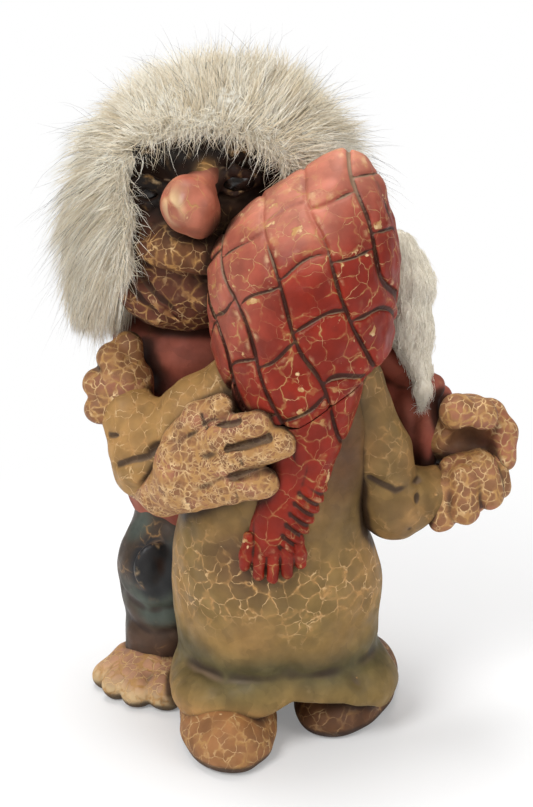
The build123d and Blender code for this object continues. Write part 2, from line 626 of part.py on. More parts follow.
# Open hand with its thumb up, above the fist
with BuildPart() as his_left_hand:
    egg(OPEN_PALM, OPEN_PALM_RADII)
    egg(THUMB, THUMB_RADII)
    egg(OUTER_FINGERS, OUTER_FINGERS_RADII)
    split(bisect_by=cuff_plane(HIS_LEFT_ELBOW, HIS_LEFT_WRIST), keep=Keep.TOP)
    wrist_peg(OPEN_PALM, HIS_LEFT_ELBOW, HIS_LEFT_WRIST)
    cut_by(her_right_hand, her_right_sleeve)
    keep_main(his_left_hand)

# Wig: hide glued to the skull, then the fur that stands on it
with BuildPart() as wig_hide:
    egg(HIS_HEAD, hide_radii)
    face_gap()
    cut_by(his_head_form, shirt_form, headscarf, her_head_form, his_nose, his_left_eye, his_right_eye)
    peg(*his_neck, mode=Mode.SUBTRACT)
    keep_main(wig_hide)

with BuildPart() as wig_fur:
    egg(FUR, FUR_RADII)
    face_gap()
    egg(HIS_HEAD, hide_radii, mode=Mode.SUBTRACT)
    egg(in_her_face(0, scarf_radii.Y, 0),
        (FACE_HALF_WIDTH + FUR_ROOM, scarf_radii.Y, FACE_HALF_HEIGHT + FUR_ROOM),
        (0, 0, HER_HEAD_TURN), mode=Mode.SUBTRACT)
    cut_by(his_head_form, shirt_form, headscarf, her_head_form, his_nose, his_left_eye, his_right_eye)
    peg(*his_neck, mode=Mode.SUBTRACT)
    keep_main(wig_fur)

with BuildPart() as wig_side_lock:
    ball(SIDE_LOCK_TOP, SIDE_LOCK_RADIUS)
    tube(SIDE_LOCK_TOP, SIDE_LOCK_TIP, SIDE_LOCK_RADIUS, SIDE_LOCK_TIP_RADIUS)
    ball(SIDE_LOCK_TIP, SIDE_LOCK_TIP_RADIUS * KNUCKLE)
    cut_by(wig_fur, wig_hide, his_head_form, shirt_form, her_left_hand, her_left_sleeve)
    keep_main(wig_side_lock)

# Wool hair of the troll in front, beside the cheek and over the brow
with BuildPart() as her_cheek_hair:
    egg(HER_LOCK, HER_LOCK_RADII)
    cut_by(headscarf, her_head_form, dress_form, shirt_form, his_left_sleeve, his_left_hand, wig_fur)
    cut_by(her_right_sleeve, her_nose_piece, her_right_eye)
    keep_main(her_cheek_hair)

with BuildPart() as her_brow_hair:
    egg(her_brow, HER_FRINGE_RADII, (0, 0, HER_HEAD_TURN))
    cut_by(headscarf, her_head_form, his_head_form, wig_hide, wig_fur, her_left_eye, her_right_eye)
    keep_main(her_brow_hair)

pieces = {
    "her_dress": her_dress,
    "her_left_shoe": her_left_shoe,
    "her_right_shoe": her_right_shoe,
    "her_head": her_head,
    "her_nose": her_nose_piece,
    "her_left_eye": her_left_eye,
    "her_right_eye": her_right_eye,
    "headscarf": headscarf,
    "scarf_tail": scarf_tail,
    "scarf_fringe": scarf_fringe,
    "her_left_sleeve": her_left_sleeve,
    "her_right_sleeve": her_right_sleeve,
    "her_left_hand": her_left_hand,
    "her_right_hand": her_right_hand,
    "her_cheek_hair": her_cheek_hair,
    "her_brow_hair": her_brow_hair,
    "his_trousers": his_trousers,
    "his_right_foot": his_right_foot,
    "his_left_foot": his_left_foot,
    "his_shirt": his_shirt,
    "his_right_sleeve": his_right_sleeve,
    "his_left_sleeve": his_left_sleeve,
    "his_right_hand": his_right_hand,
    "his_left_hand": his_left_hand,
    "his_head": his_head,
    "his_nose": his_nose,
    "his_right_eye": his_right_eye,
    "his_left_eye": his_left_eye,
    "wig_hide": wig_hide,
    "wig_fur": wig_fur,
    "wig_side_lock": wig_side_lock,
}
os.makedirs("parts", exist_ok=True)
for name, piece in pieces.items():
    piece.part.label = name
    export_step(piece.part, f"parts/{name}.step")
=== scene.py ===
"""Looks of the dancing troll couple: painted cast pieces, glued fur and wool, floor, light and camera."""

import math

import bpy
import numpy as np
import openvdb
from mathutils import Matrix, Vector


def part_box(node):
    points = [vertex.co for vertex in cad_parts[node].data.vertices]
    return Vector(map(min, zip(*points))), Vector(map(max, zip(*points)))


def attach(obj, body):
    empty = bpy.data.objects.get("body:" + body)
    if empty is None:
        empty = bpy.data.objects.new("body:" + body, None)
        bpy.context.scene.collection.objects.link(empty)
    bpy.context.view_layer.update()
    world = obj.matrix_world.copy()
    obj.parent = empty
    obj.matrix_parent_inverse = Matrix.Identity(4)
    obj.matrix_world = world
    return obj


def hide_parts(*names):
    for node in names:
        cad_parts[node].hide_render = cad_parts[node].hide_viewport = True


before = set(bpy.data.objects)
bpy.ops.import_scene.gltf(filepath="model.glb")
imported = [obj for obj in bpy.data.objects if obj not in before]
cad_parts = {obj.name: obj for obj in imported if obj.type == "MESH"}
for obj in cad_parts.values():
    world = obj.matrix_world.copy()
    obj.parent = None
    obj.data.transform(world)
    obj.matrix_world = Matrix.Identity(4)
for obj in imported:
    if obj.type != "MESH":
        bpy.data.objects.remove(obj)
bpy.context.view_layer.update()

MM = 0.001

# Camera of the photograph, in millimetres and degrees
CAMERA_TARGET = (-3.65, -4.0, 97.0)
CAMERA_DISTANCE = 800.0
CAMERA_ELEVATION = 22.0
CAMERA_LENS = 123.1
CAMERA_SENSOR = 36.0

# Heads, as in the solids
HER_HEAD = (7.0, -18.0, 141.0)
HER_FACE_RADII = (22.0, 21.5, 28.5)
HER_TURN = -42.0
HER_LEAN = 9.0
CROWN_CLOTH = 2.6
HIS_HEAD = (-22.0, 19.0, 151.0)
HIS_HEAD_RADII = (28.5, 26.0, 35.0)

# Dress rings: height, sideways middle, half width
DRESS_RINGS = (
    (0, 0, 29), (6, 0, 31.5), (13, 0, 32.5), (19, 0, 31), (24, 0, 29.3), (34, -0.5, 29.6),
    (48, -0.5, 30.8), (58, -1.5, 29.5), (66, -2.3, 27.3), (76, -1, 26), (88, 2.5, 24.8),
    (100, 5, 22.5), (110, 5.5, 19.5), (119, 6, 15), (126, 6, 12),
)
DRESS_FLATNESS = 0.82
DRESS_BACK = -12.5
DRESS_BACK_LEAN = 7.5
DRESS_TOP = 118.0
HEM_X = (-31, -22, -13, -3, 4, 10, 19, 28, 33)
HEM_Z = (6.5, 8.0, 10.0, 13.5, 17.0, 16.5, 14.5, 10.0, 4.0)
HEM_BEHIND = 4.0

# Shirt rings: height, sideways middle, half width
SHIRT_RINGS = ((48, -8, 34), (56, -9, 37), (78, -12, 37), (94, -15, 34.5), (104, -16, 31), (112, -17, 25),
               (119, -18, 18.5), (128, -19, 14))
SHIRT_FLATNESS = 0.66
SHIRT_BACK = 24.0


# Fields: the distance to a surface, below zero inside, for places given as three arrays in millimetres

def local(p, centre, turn=0.0, lean=0.0):
    """Places seen from a centre, with a lean about Y and a turn about Z taken out, in degrees."""
    x, y, z = (p[i] - centre[i] for i in range(3))
    if lean:
        c, s = math.cos(math.radians(lean)), math.sin(math.radians(lean))
        x, z = c * x - s * z, s * x + c * z
    if turn:
        c, s = math.cos(math.radians(turn)), math.sin(math.radians(turn))
        x, y = c * x + s * y, c * y - s * x
    return x, y, z


def oval(offsets, radii):
    """Near distance to an oval of these radii."""
    k0 = np.sqrt(sum((o / r) ** 2 for o, r in zip(offsets, radii)))
    k1 = np.sqrt(sum((o / r ** 2) ** 2 for o, r in zip(offsets, radii)))
    return k0 * (k0 - 1) / np.maximum(k1, 1e-4)


def egg(p, centre, radii, turn=0.0, lean=0.0):
    """An egg with three radii."""
    return oval(local(p, centre, turn, lean), radii)


def limb(p, start, end, r0, r1):
    """A rounded rod that tapers from one radius to another."""
    along = np.subtract(end, start).astype(float)
    rel = [p[i] - start[i] for i in range(3)]
    t = np.clip(sum(r * a for r, a in zip(rel, along)) / along.dot(along), 0, 1)
    gap = np.sqrt(sum((r - a * t) ** 2 for r, a in zip(rel, along)))
    return gap - (r0 + (r1 - r0) * t)


def join(a, b, soft):
    """Two bodies melted together."""
    h = np.clip(0.5 + 0.5 * (b - a) / soft, 0, 1)
    return b + (a - b) * h - soft * h * (1 - h)


def meet(a, b, soft):
    """What two bodies share, with a soft edge."""
    return -join(-a, -b, soft)


def carve(a, b, soft):
    """The first body with the second scooped out."""
    return meet(a, -b, soft)


def chain(p, stops, soft=2.0):
    """Rounded rods through places with radii, melted together."""
    body = None
    for (start, r0), (end, r1) in zip(stops, stops[1:]):
        rod = limb(p, start, end, r0, r1)
        body = rod if body is None else join(body, rod, soft)
    return body


def line_gap(p, stops):
    """The distance to a bent line."""
    return np.minimum.reduce([limb(p, a, b, 0, 0) for a, b in zip(stops, stops[1:])])


def crease(p, stops, depth, width):
    """How deep a fold along a bent line goes in."""
    return depth * np.exp(-(line_gap(p, stops) / width) ** 2)


def creased(p, body, folds):
    """A body with folds, each given by its bent line, its depth and its width."""
    for stops, depth, width in folds:
        body = body + crease(p, stops, depth, width)
    return body


def ripple(p, wave, seed):
    """Slow uneven waves between about -1 and 1, as a hand leaves in clay."""
    draw = np.random.default_rng(seed)
    total = 0
    for _ in range(5):
        way = draw.normal(size=3)
        way *= 2 * math.pi / wave / np.linalg.norm(way) * draw.uniform(0.7, 1.3)
        total = total + np.sin(way[0] * p[0] + way[1] * p[1] + way[2] * p[2] + draw.uniform(0, 6.28))
    return total / 3


def smooth_step(value, low, high):
    """From 0 at low to 1 at high, soft at both ends."""
    t = np.clip((value - low) / (high - low), 0, 1)
    return t * t * (3 - 2 * t)


RING_STEP = 0.5
RING_REACH = 14
RING_BLUR = 6.0


def ring_table(rings):
    """Heights with the smoothed middle and half width there."""
    heights = np.arange(rings[0][0], rings[-1][0] + RING_STEP, RING_STEP)
    weights = np.exp(-(np.arange(-RING_REACH, RING_REACH + 1) / RING_BLUR) ** 2)
    weights /= weights.sum()
    columns = []
    for k in (1, 2):
        raw = np.interp(heights, [r[0] for r in rings], [r[k] for r in rings])
        columns.append(np.convolve(np.pad(raw, RING_REACH, mode="edge"), weights, mode="valid"))
    return heights, columns[0], columns[1]


def stacked(p, rings, back, flatness):
    """A body of level oval rings."""
    heights, middles, halves = ring_table(rings)
    half = np.interp(p[2], heights, halves)
    return oval((p[0] - np.interp(p[2], heights, middles), p[1] - back), (half, half * flatness))


# Troll in front

def dress_back(z):
    """How far back the middle of the dress is at a height."""
    return DRESS_BACK - DRESS_BACK_LEAN * z / DRESS_TOP


def dress_barrel(p):
    """The plain body of the dress."""
    return stacked(p, DRESS_RINGS, dress_back(p[2]), DRESS_FLATNESS)


def on_her_back(x, z, lift):
    """A place on the back of the dress, lifted off it."""
    heights, middles, halves = ring_table(DRESS_RINGS)
    half = np.interp(z, heights, halves)
    across = min(1.0, abs(x - np.interp(z, heights, middles)) / half)
    return x, dress_back(z) - half * DRESS_FLATNESS * math.sqrt(1 - across ** 2) - lift, z


# Folds of the dress: the cleft over the heels, the tuck above the hem, and small side folds
DRESS_FOLDS = (
    (((4, -44, 4), (4.5, -42, 15), (3, -39, 27)), 3.6, 3.6),
    (((-32, -20, 24), (-16, -36, 24), (2, -37, 25), (22, -32, 25), (32, -15, 26)), 1.3, 2.6),
    (((-27, -25, 8), (-23, -29, 20)), 1.2, 2.0),
    (((25, -27, 10), (22, -31, 22), (23, -32, 40)), 0.9, 2.4),
    (((-24, -26, 60), (-14, -37, 66)), 0.6, 2.6),
)


def her_dress(p):
    """Barrel-shaped dress with a tuck above an uneven hem that rides over the heels."""
    body = dress_barrel(p)
    body = join(body, egg(p, (-14, -25, 15.5), (17.5, 15, 8)), 7)
    body = join(body, egg(p, (21, -17, 15), (13.5, 14, 8)), 7)
    body = creased(p, body, DRESS_FOLDS) + 0.4 * ripple(p, 24, 3) + 0.15 * ripple(p, 7, 4)
    share = 1 - smooth_step(p[1], -8, 18)
    hem = HEM_BEHIND + (np.interp(p[0], HEM_X, HEM_Z) - HEM_BEHIND) * share
    body = meet(body, hem - p[2], 3)
    return meet(body, p[2] - 123, 5)


def shoe(p, x, y, turn, seed):
    """Plain rounded shoe with a flat sole."""
    upper = egg(p, (x, y, 6.5), (13.0, 26, 11.5), turn)
    welt = egg(p, (x, y, 4.2), (13.8, 27, 7.6), turn)
    return meet(join(upper, welt, 4) + 0.35 * ripple(p, 12, seed), -p[2], 1.2)


def her_left_shoe(p):
    return shoe(p, -15, -25, 3, 21)


def her_right_shoe(p):
    return shoe(p, 20.5, -4, -17, 22)


def in_her_face(sideways, forward, upward):
    """A place given from the middle of her head: sideways, out of the face and up."""
    c, s = math.cos(math.radians(HER_TURN)), math.sin(math.radians(HER_TURN))
    return (HER_HEAD[0] + c * sideways - s * forward, HER_HEAD[1] + s * sideways + c * forward,
            HER_HEAD[2] + upward)


def her_face_line(*stops):
    """Several places in her face."""
    return tuple(in_her_face(*s) for s in stops)


def her_skull(p):
    """The plain egg of her head, kept under the crown of the scarf."""
    return meet(egg(p, HER_HEAD, HER_FACE_RADII, HER_TURN, HER_LEAN), scarf_outer(p) + CROWN_CLOTH, 2)


def her_head(p):
    """Round face with brow, sockets, cheeks, a smile and a chin."""
    body = her_skull(p)
    for side in (-1, 1):
        body = carve(body, egg(p, in_her_face(side * 8.5, 23, 8), (5.5, 4, 4.6), HER_TURN), 3)
        body = join(body, egg(p, in_her_face(side * 9.5, 18.5, -5), (6.5, 6, 6), HER_TURN), 4)
        lid = her_face_line((side * 4.8, 22.2, 8), (side * 8.5, 22.6, 11), (side * 12.3, 19.6, 8))
        body = join(body, line_gap(p, lid) - 1.4, 1.2)
        low = her_face_line((side * 4.8, 22, 7), (side * 8.5, 22.2, 4.6), (side * 12.3, 19.4, 7))
        body = join(body, line_gap(p, low) - 1.0, 1.2)
    body = join(body, egg(p, in_her_face(0, 19.5, -17), (7.5, 5.5, 5), HER_TURN), 4)
    smile = her_face_line((-10, 20, -7.5), (-5, 23.5, -11), (0, 24.5, -11.8), (5, 23.5, -11), (10, 20, -7.5))
    body = body + crease(p, smile, 1.8, 1.1)
    return body + 0.2 * ripple(p, 9, 31)


def her_nose(p):
    """Long soft nose."""
    stops = ((in_her_face(0, 20, 3), 4.2), (in_her_face(0, 27, -0.5), 5.6), (in_her_face(0, 29.5, -2), 6))
    return chain(p, stops, 3) + 0.2 * ripple(p, 7, 33)


def her_eye(p, side):
    return egg(p, in_her_face(side * 8.5, 20.2, 7.6), (3.2, 3.2, 3.2))


# Scarf rings: height, sideways middle, half width
SCARF_RINGS = (
    (96, 7.5, 14), (104, 6.8, 18), (110, 6.4, 21.5), (117, 6.2, 24.4), (125, 6.2, 26.1),
    (134, 6.5, 27), (143, 6.6, 27.1), (150, 7.5, 25.7), (156, 9.2, 23.3), (161, 11.4, 20.1),
    (165.6, 14.0, 16.6), (169.6, 16.2, 12.4), (173.3, 17.6, 8.2), (177, 18, 3), (179, 18, 0.5),
)
SCARF_FLATNESS = 0.97
SCARF_BACK_Z = (96, 110, 124, 150, 176)
SCARF_BACK = (-27.0, -24.0, -20.0, -18.0, -14.5)


def scarf_outer(p):
    """The head and nape under the scarf, from outside."""
    body = stacked(p, SCARF_RINGS, np.interp(p[2], SCARF_BACK_Z, SCARF_BACK), SCARF_FLATNESS)
    return meet(meet(body, p[2] - 177, 3), 98 - p[2], 5)


# Line where the scarf ends and its tail begins
SEAM_X = (-20, 4.9, 24, 34)
SEAM_Z = (101, 106, 118, 123)


def scarf_seam(p):
    """Above zero over the slanting line where the scarf ends and its gathered tail begins."""
    return p[2] - np.interp(p[0], SEAM_X, SEAM_Z) + 0.5 * ripple(p, 18, 44)


# Carved checks: lean, radius, turn and start of the columns, then direction, height and shifts of the rows
CHECK_LEAN = -20.0
CHECK_ROUND = 28.5
CHECK_TURN = 30.0
CHECK_FIRST = -9.0
CHECK_DOWN = np.array((-0.42, 0.5, 0.75)) / 0.995
CHECK_HEIGHT = 15.5
CHECK_SHIFTS = np.array((0.0, 0.16, -0.1, 0.06, -0.05, 0.12))


def scarf_checks(p):
    """How deep the carved checks of the scarf go in."""
    across = local(p, HER_HEAD, 0.0, CHECK_LEAN)[0] + 1.2 * ripple(p, 24, 41)
    column = np.degrees(np.arcsin(np.clip(across / CHECK_ROUND, -0.98, 0.98))) - CHECK_FIRST
    column = column / CHECK_TURN
    down = sum((p[i] - HER_HEAD[i]) * CHECK_DOWN[i] for i in range(3)) + 1.4 * ripple(p, 22, 42) + 2.0
    down = down + CHECK_HEIGHT * CHECK_SHIFTS[np.floor(column).astype(int) % len(CHECK_SHIFTS)]
    narrow = np.sqrt(np.clip(1 - (across / CHECK_ROUND) ** 2, 0.2, 1))
    gap_across = np.abs(column - np.round(column)) * math.radians(CHECK_TURN) * CHECK_ROUND * narrow
    gap_down = np.abs(down - np.round(down / CHECK_HEIGHT) * CHECK_HEIGHT)
    cut = np.maximum(1.15 * np.exp(-(gap_across / 0.62) ** 2), np.exp(-(gap_down / 0.6) ** 2))
    pillow = np.maximum(np.exp(-(gap_across / 2.2) ** 2), np.exp(-(gap_down / 2.0) ** 2))
    return cut + 0.35 * pillow


def headscarf(p):
    """Headscarf carved in checks, open round her face with a rolled edge."""
    opening = egg(p, in_her_face(0, 27, 0), (15, 27, 21), HER_TURN)
    body = join(scarf_outer(p), tail_body(p), 6) + scarf_checks(p) * smooth_step(opening, 2, 5)
    rolled = np.exp(-((opening - 1.8) / 1.7) ** 2)
    body = body - rolled + 0.3 * ripple(p, 11, 43) + 0.15 * ripple(p, 5, 45)
    body = carve(body, opening, 1.5)
    body = carve(body, her_skull(p), 0.5)
    return meet(body, 0.05 - scarf_seam(p), 0.5)


# Scarf tail: heights with its middle and half width, and heights with its thickness
TAIL_Z = (62, 68, 76, 84, 92, 104, 116)
TAIL_X = (-3.5, -2, 0.5, 3.2, 5.0, 5.8, 7.0)
TAIL_HALF = (7.4, 7.8, 8.8, 9.6, 10.4, 13.4, 16.0)
THICK_Z = (64, 72, 92, 106, 116)
THICK = (3.4, 4.6, 5.2, 7.2, 9.0)


def tail_across(p):
    """How far a place is from the middle line of the scarf tail."""
    return p[0] - np.interp(p[2], TAIL_Z, TAIL_X)


def tail_body(p):
    """The plain shape of the scarf tail on her back."""
    half = np.interp(p[2], TAIL_Z, TAIL_HALF)
    thick = np.interp(p[2], THICK_Z, THICK)
    body = oval((tail_across(p), dress_barrel(p) - 0.5), (half, thick))
    return meet(body, p[2] - 119, 5)


def scarf_tail(p):
    """Gathered end of the scarf down her back, with pleats and a ribbed right edge."""
    half = np.interp(p[2], TAIL_Z, TAIL_HALF)
    across = tail_across(p) / half
    low = 1 - smooth_step(p[2], 82, 90)
    rib = low * smooth_step(across, -0.2, 0.55) * np.sin(2 * math.pi * (p[2] * 0.8 + 0.75 * p[0]) / 3.5)
    pleat = np.abs(np.sin(2.9 * across + 0.03 * p[2] + 0.4 * ripple(p, 22, 52)))
    nape = meet(scarf_outer(p), np.abs(tail_across(p)) - half, 4)
    high = smooth_step(p[2], 92, 103)
    body = join(nape, tail_body(p), 6) + 0.9 * (1 - high) - 1.3 * pleat * (1 - high) - 0.75 * rib
    body = body + scarf_checks(p) * high + 0.2 * ripple(p, 8, 51)
    return meet(meet(body, scarf_seam(p) + 0.05, 0.5), 66 - p[2], 2)


# Tassels: sideways place, height of the tip, slant
TASSELS = ((-8.4, 62.5, -1.4), (-5.0, 60.0, -0.9), (-1.6, 59.2, -0.3), (1.8, 60.4, 0.4), (5.0, 63.0, 1.0))


def scarf_fringe(p):
    """Tassels at the end of the scarf tail."""
    body = chain(p, tuple((on_her_back(x, 69, 0.8), 1.8) for x in (-8.5, -2, 4.5)), 2)
    for x, tip, slant in TASSELS:
        top = on_her_back(x, 71, 1.4)
        middle = on_her_back(x + slant * 0.5, 66, 2.0)
        end = on_her_back(x + slant, tip, 1.7)
        body = join(body, chain(p, ((top, 1.7), (middle, 2.0), (end, 1.7)), 1.5), 0.5)
    return body + 0.12 * ripple(p, 4, 53)


# Sleeves of the troll in front: stops with radii, and folds at the elbow
LEFT_SLEEVE = (((-6, -21, 114), 9.5), ((-24, -19, 99.5), 9.2), ((-37.2, -16, 84.2), 9.9),
               ((-43, -8.5, 96.5), 8.5))
LEFT_SLEEVE_FOLDS = (
    (((-30, -24, 96), (-37, -26, 90), (-46, -23, 86)), 1.2, 1.6),
    (((-33, -20, 98), (-40, -21, 94), (-49, -16, 92)), 1.0, 1.5),
    (((-33, -27, 86), (-40, -27, 80), (-47, -22, 77)), 0.8, 1.7),
)
RIGHT_SLEEVE = (((21, -20, 111), 8.2), ((28.5, -20.5, 90), 8.2), ((33, -19, 72), 9.2), ((45, -14, 73.5), 7.6))
RIGHT_SLEEVE_FOLDS = (
    (((26, -27, 84), (33, -28, 80), (40, -22, 81)), 0.9, 1.6),
    (((37, -26, 68), (39, -25, 77), (38, -18, 82)), 0.9, 1.5),
)


def sleeve(p, stops, soft, folds, seed):
    """A sleeve with folds, uneven as a hand leaves clay."""
    body = creased(p, chain(p, stops, soft), folds)
    return body + 0.35 * ripple(p, 13, seed) + 0.12 * ripple(p, 5, seed + 1)


def her_left_sleeve(p):
    """Bent sleeve up to his shoulder."""
    return sleeve(p, LEFT_SLEEVE, 6, LEFT_SLEEVE_FOLDS, 61)


def her_right_sleeve(p):
    """Hanging sleeve bent at the elbow."""
    return sleeve(p, RIGHT_SLEEVE, 5, RIGHT_SLEEVE_FOLDS, 63)


def knuckled(p, core, rods, soft, seed):
    """A lumpy hand: a core with fingers melted on, and small dents."""
    body = core
    for stops in rods:
        body = join(body, chain(p, stops, 1.5), soft)
    return body + 0.22 * ripple(p, 6, seed)


# Fingers of the troll in front: stops with radii
SHOULDER_FINGERS = (
    (((-44, -4, 105), 5), ((-43.6, -1, 113.8), 4.4)),
    (((-45.4, -6, 104.5), 5.1), ((-48, -4, 110.8), 4.8)),
    (((-46, -8, 101), 5.1), ((-52, -6, 103.8), 4.7)),
    (((-45, -9, 98), 5), ((-52, -8, 97), 4.5)),
)
FIST_FINGERS = (
    (((48.8, -17, 76), 4.3), ((46.9, -19.5, 67.8), 4.2)),
    (((52.8, -18, 79.5), 4.5), ((53.5, -21, 71), 4.5)),
    (((58.5, -15, 81), 4.6), ((60.5, -18, 74.5), 4.5)),
    (((62, -10, 80.5), 4.2), ((63.3, -12.5, 74.5), 4)),
    (((50.5, -13.5, 80.5), 4.2), ((57.5, -13.5, 82.2), 4.4)),
)


def her_left_hand(p):
    """Hand laid on his shoulder, four lumpy fingers."""
    palm = egg(p, (-44.6, -3, 103.2), (8.2, 7.6, 8.6))
    wrist = limb(p, (-43.4, -8, 96), (-44.8, -4, 102), 7.2, 7.4)
    return knuckled(p, join(palm, wrist, 3), SHOULDER_FINGERS, 1.6, 71)


def her_right_hand(p):
    """Closed fist."""
    palm = egg(p, (53.5, -12, 73), (8.2, 7.2, 8.2))
    wrist = limb(p, (46, -14, 73.5), (52, -12.5, 73.3), 6.6, 7)
    return knuckled(p, join(palm, wrist, 3), FIST_FINGERS, 1.2, 72)


# Tall troll behind

# Trousers: legs as stops with radii, the middle of the knee patch, and folds
RIGHT_LEG = (((-24, 24, 60), 17), ((-33, 16, 36), 14.2), ((-34, 13.5, 12), 13))
LEFT_LEG = (((4, 25, 58), 15), ((7, 30, 36), 14.2), ((8, 32.5, 12), 13))
KNEE_PATCH = (-37.5, 2.5, 41.5)
TROUSER_FOLDS = (
    (((-48, 12, 30), (-40, 2, 27), (-28, 2, 30)), 1.1, 2.2),
    (((-47, 12, 22), (-38, 1, 20), (-26, 3, 22)), 0.9, 2.0),
    (((-47, 16, 56), (-40, 4, 54), (-28, 2, 57)), 1.2, 2.4),
    (((-7, 3, 20), (-8, 5, 48)), 2.0, 4.0),
    (((-12, 48, 8), (-10, 48, 52)), 2.0, 3.0),
)


def his_trousers(p):
    """Trousers over broad legs, a patch on the right knee."""
    body = egg(p, (-9, 24, 60), (33, 20, 20))
    for leg in (RIGHT_LEG, LEFT_LEG):
        body = join(body, chain(p, leg, 8), 6)
    body = join(body, egg(p, KNEE_PATCH, (7.5, 4, 9.5), 20) + 1.6, 1.2)
    body = creased(p, body, TROUSER_FOLDS) + 0.45 * ripple(p, 17, 81) + 0.15 * ripple(p, 6, 82)
    return meet(body, 7.5 + 1.5 * ripple(p, 22, 83) - p[2], 2)


# Pleats of the shirt at the back, and the fold round the waist
SHIRT_PLEATS_X = (-38, -24, -6, 12, 22)
SHIRT_WAIST = (((-46, 30, 62), (-10, 50, 60), (28, 34, 62)), 1.0, 2.0)


def his_shirt(p):
    """Shirt body that narrows to the neck, pleated over the seat."""
    body = stacked(p, SHIRT_RINGS, SHIRT_BACK - 0.05 * (p[2] - 60), SHIRT_FLATNESS)
    body = join(body, egg(p, (-25, 9, 108), (16, 11, 12)), 5)
    body = join(body, egg(p, (-37, 18, 107), (12, 12, 11.5)), 5)
    pleats = [(((x, 50, 58), (x * 0.8 - 3, 47, 86)), 0.8, 2.6) for x in SHIRT_PLEATS_X]
    body = creased(p, body, (*pleats, SHIRT_WAIST)) + 0.4 * ripple(p, 18, 84) + 0.15 * ripple(p, 6, 85)
    body = meet(body, 51 + ripple(p, 20, 86) - p[2], 2.5)
    return meet(body, p[2] - 126, 3)


# Sleeves of the tall troll: stops with radii, and the hanging folds of the wide cuff
RIGHT_ARM = (((-31, 21, 102), 10), ((-38, 12, 90), 9), ((-39.5, 1, 79), 8), ((-38.5, -10, 76), 6.8))
LEFT_ARM = (((9, 21, 104), 11), ((27, 13, 103), 9.5), ((38, 4, 95), 9), ((43, -1, 86), 7.6))
CUFF_FOLDS = (
    (((31, 2, 108), 4.5), ((44, -3, 102), 4.2)),
    (((37.4, -3, 98), 3.3), ((38.6, -5, 79.5), 2.6)),
    (((42.6, -4.5, 97), 3.6), ((42.5, -7, 77.6), 3.0)),
    (((47, 3, 96), 4), ((46.8, -1, 78), 3.2)),
)


def his_right_sleeve(p):
    """Upper arm and sleeve that pass behind her elbow."""
    return chain(p, RIGHT_ARM, 6) + 0.35 * ripple(p, 12, 87)


def his_left_sleeve(p):
    """Wide red sleeve stretched to the side, its cuff hanging in folds."""
    body = chain(p, LEFT_ARM, 5)
    for stops in CUFF_FOLDS:
        body = join(body, chain(p, stops), 1.6)
    return body + 0.3 * ripple(p, 10, 88)


# Fingers on her back: root, knuckle, tip and radius; the arm end they grow from; fingers of the open hand
FINGERS = (
    ((-27.5, -30, 97), (-22.5, -33.5, 105), (-16.2, -36.5, 108.8), 4.3),
    ((-25.5, -33.5, 92.5), (-16, -39, 101.8), (-6, -42.5, 106), 4.9),
    ((-24, -35.5, 88), (-12, -41, 96.5), (-0.3, -44, 101.4), 5.2),
    ((-24, -35, 82.5), (-13.5, -41, 87), (-4.4, -43.5, 89.4), 4.8),
)
WRIST = (((-40, -14, 77), 5.4), ((-33, -25, 78), 5.8), ((-26.5, -31, 85), 8.4), ((-26.5, -31, 92), 8.2))
OPEN_FINGERS = (
    (((52, -7, 95), 5.6), ((51, -14, 98.6), 5.3)),
    (((56, -6, 95), 5.4), ((58, -13.2, 97.2), 4.9)),
    (((61, -4, 93), 5.2), ((64, -7, 89), 4.9), ((64.6, -9, 82.2), 4.3)),
)


def his_right_hand(p):
    """Hand spread on her back, four fingers fanned out."""
    core = join(chain(p, WRIST, 5), egg(p, (-19.5, -35.5, 92), (8, 6.2, 10)), 3)
    rods = tuple(((root, r + 0.5), (knuckle, r), (tip, r - 0.3)) for root, knuckle, tip, r in FINGERS)
    body = knuckled(p, core, rods, 1.0, 91)
    for a, b in zip(FINGERS, FINGERS[1:]):
        gap = [tuple((np.array(a[k]) + b[k]) / 2 - (0, 3.5, 0)) for k in (1, 2)]
        body = body + crease(p, gap, 1.6, 1.3)
    for _, (x, y, z), _, r in FINGERS:
        body = body + crease(p, ((x + 2, y - r, z - 2.5), (x + 1, y - r, z + 2.5)), 0.35, 0.8)
    return body


def his_left_hand(p):
    """Open hand at the end of the stretched arm, hollow palm towards the front."""
    palm = egg(p, (54.5, -3, 86), (11.5, 8.5, 9.5))
    wrist = limb(p, (44, -1, 86), (52, -3, 86), 6.8, 7.5)
    body = knuckled(p, join(palm, wrist, 4), OPEN_FINGERS, 1.8, 92)
    return carve(body, egg(p, (54.5, -15, 87.5), (7.5, 8, 6)), 2.5)


# Toes: sideways and forward place, radius
TOES = ((10.5, 17.5, 5.8), (2.2, 20.2, 4.9), (-5.6, 18.6, 4.6), (-12, 14.0, 4.3))


def foot(p, ankle, turn, seed):
    """Broad bare foot with four toes and a flat sole."""
    c, s = math.cos(math.radians(turn)), math.sin(math.radians(turn))

    def place(sideways, forward, up):
        return ankle[0] + c * sideways + s * forward, ankle[1] + s * sideways - c * forward, up

    sole = egg(p, place(0, 3, 5), (12.5, 17, 9), turn)
    heel = egg(p, place(0, -5, 8), (10.5, 10, 9.5), turn)
    body = join(sole, heel, 5)
    for sideways, forward, r in TOES:
        root = place(sideways * 0.8, forward - 9, 6.5)
        tip = place(sideways, forward, r * 0.86)
        body = join(body, chain(p, ((root, r), (tip, r)), 2), 1.6)
    return meet(body + 0.25 * ripple(p, 7, seed), -p[2], 0.8)


def his_right_foot(p):
    return foot(p, (-35.5, 12.5), -27, 93)


def his_left_foot(p):
    return foot(p, (8, 33), 6, 94)


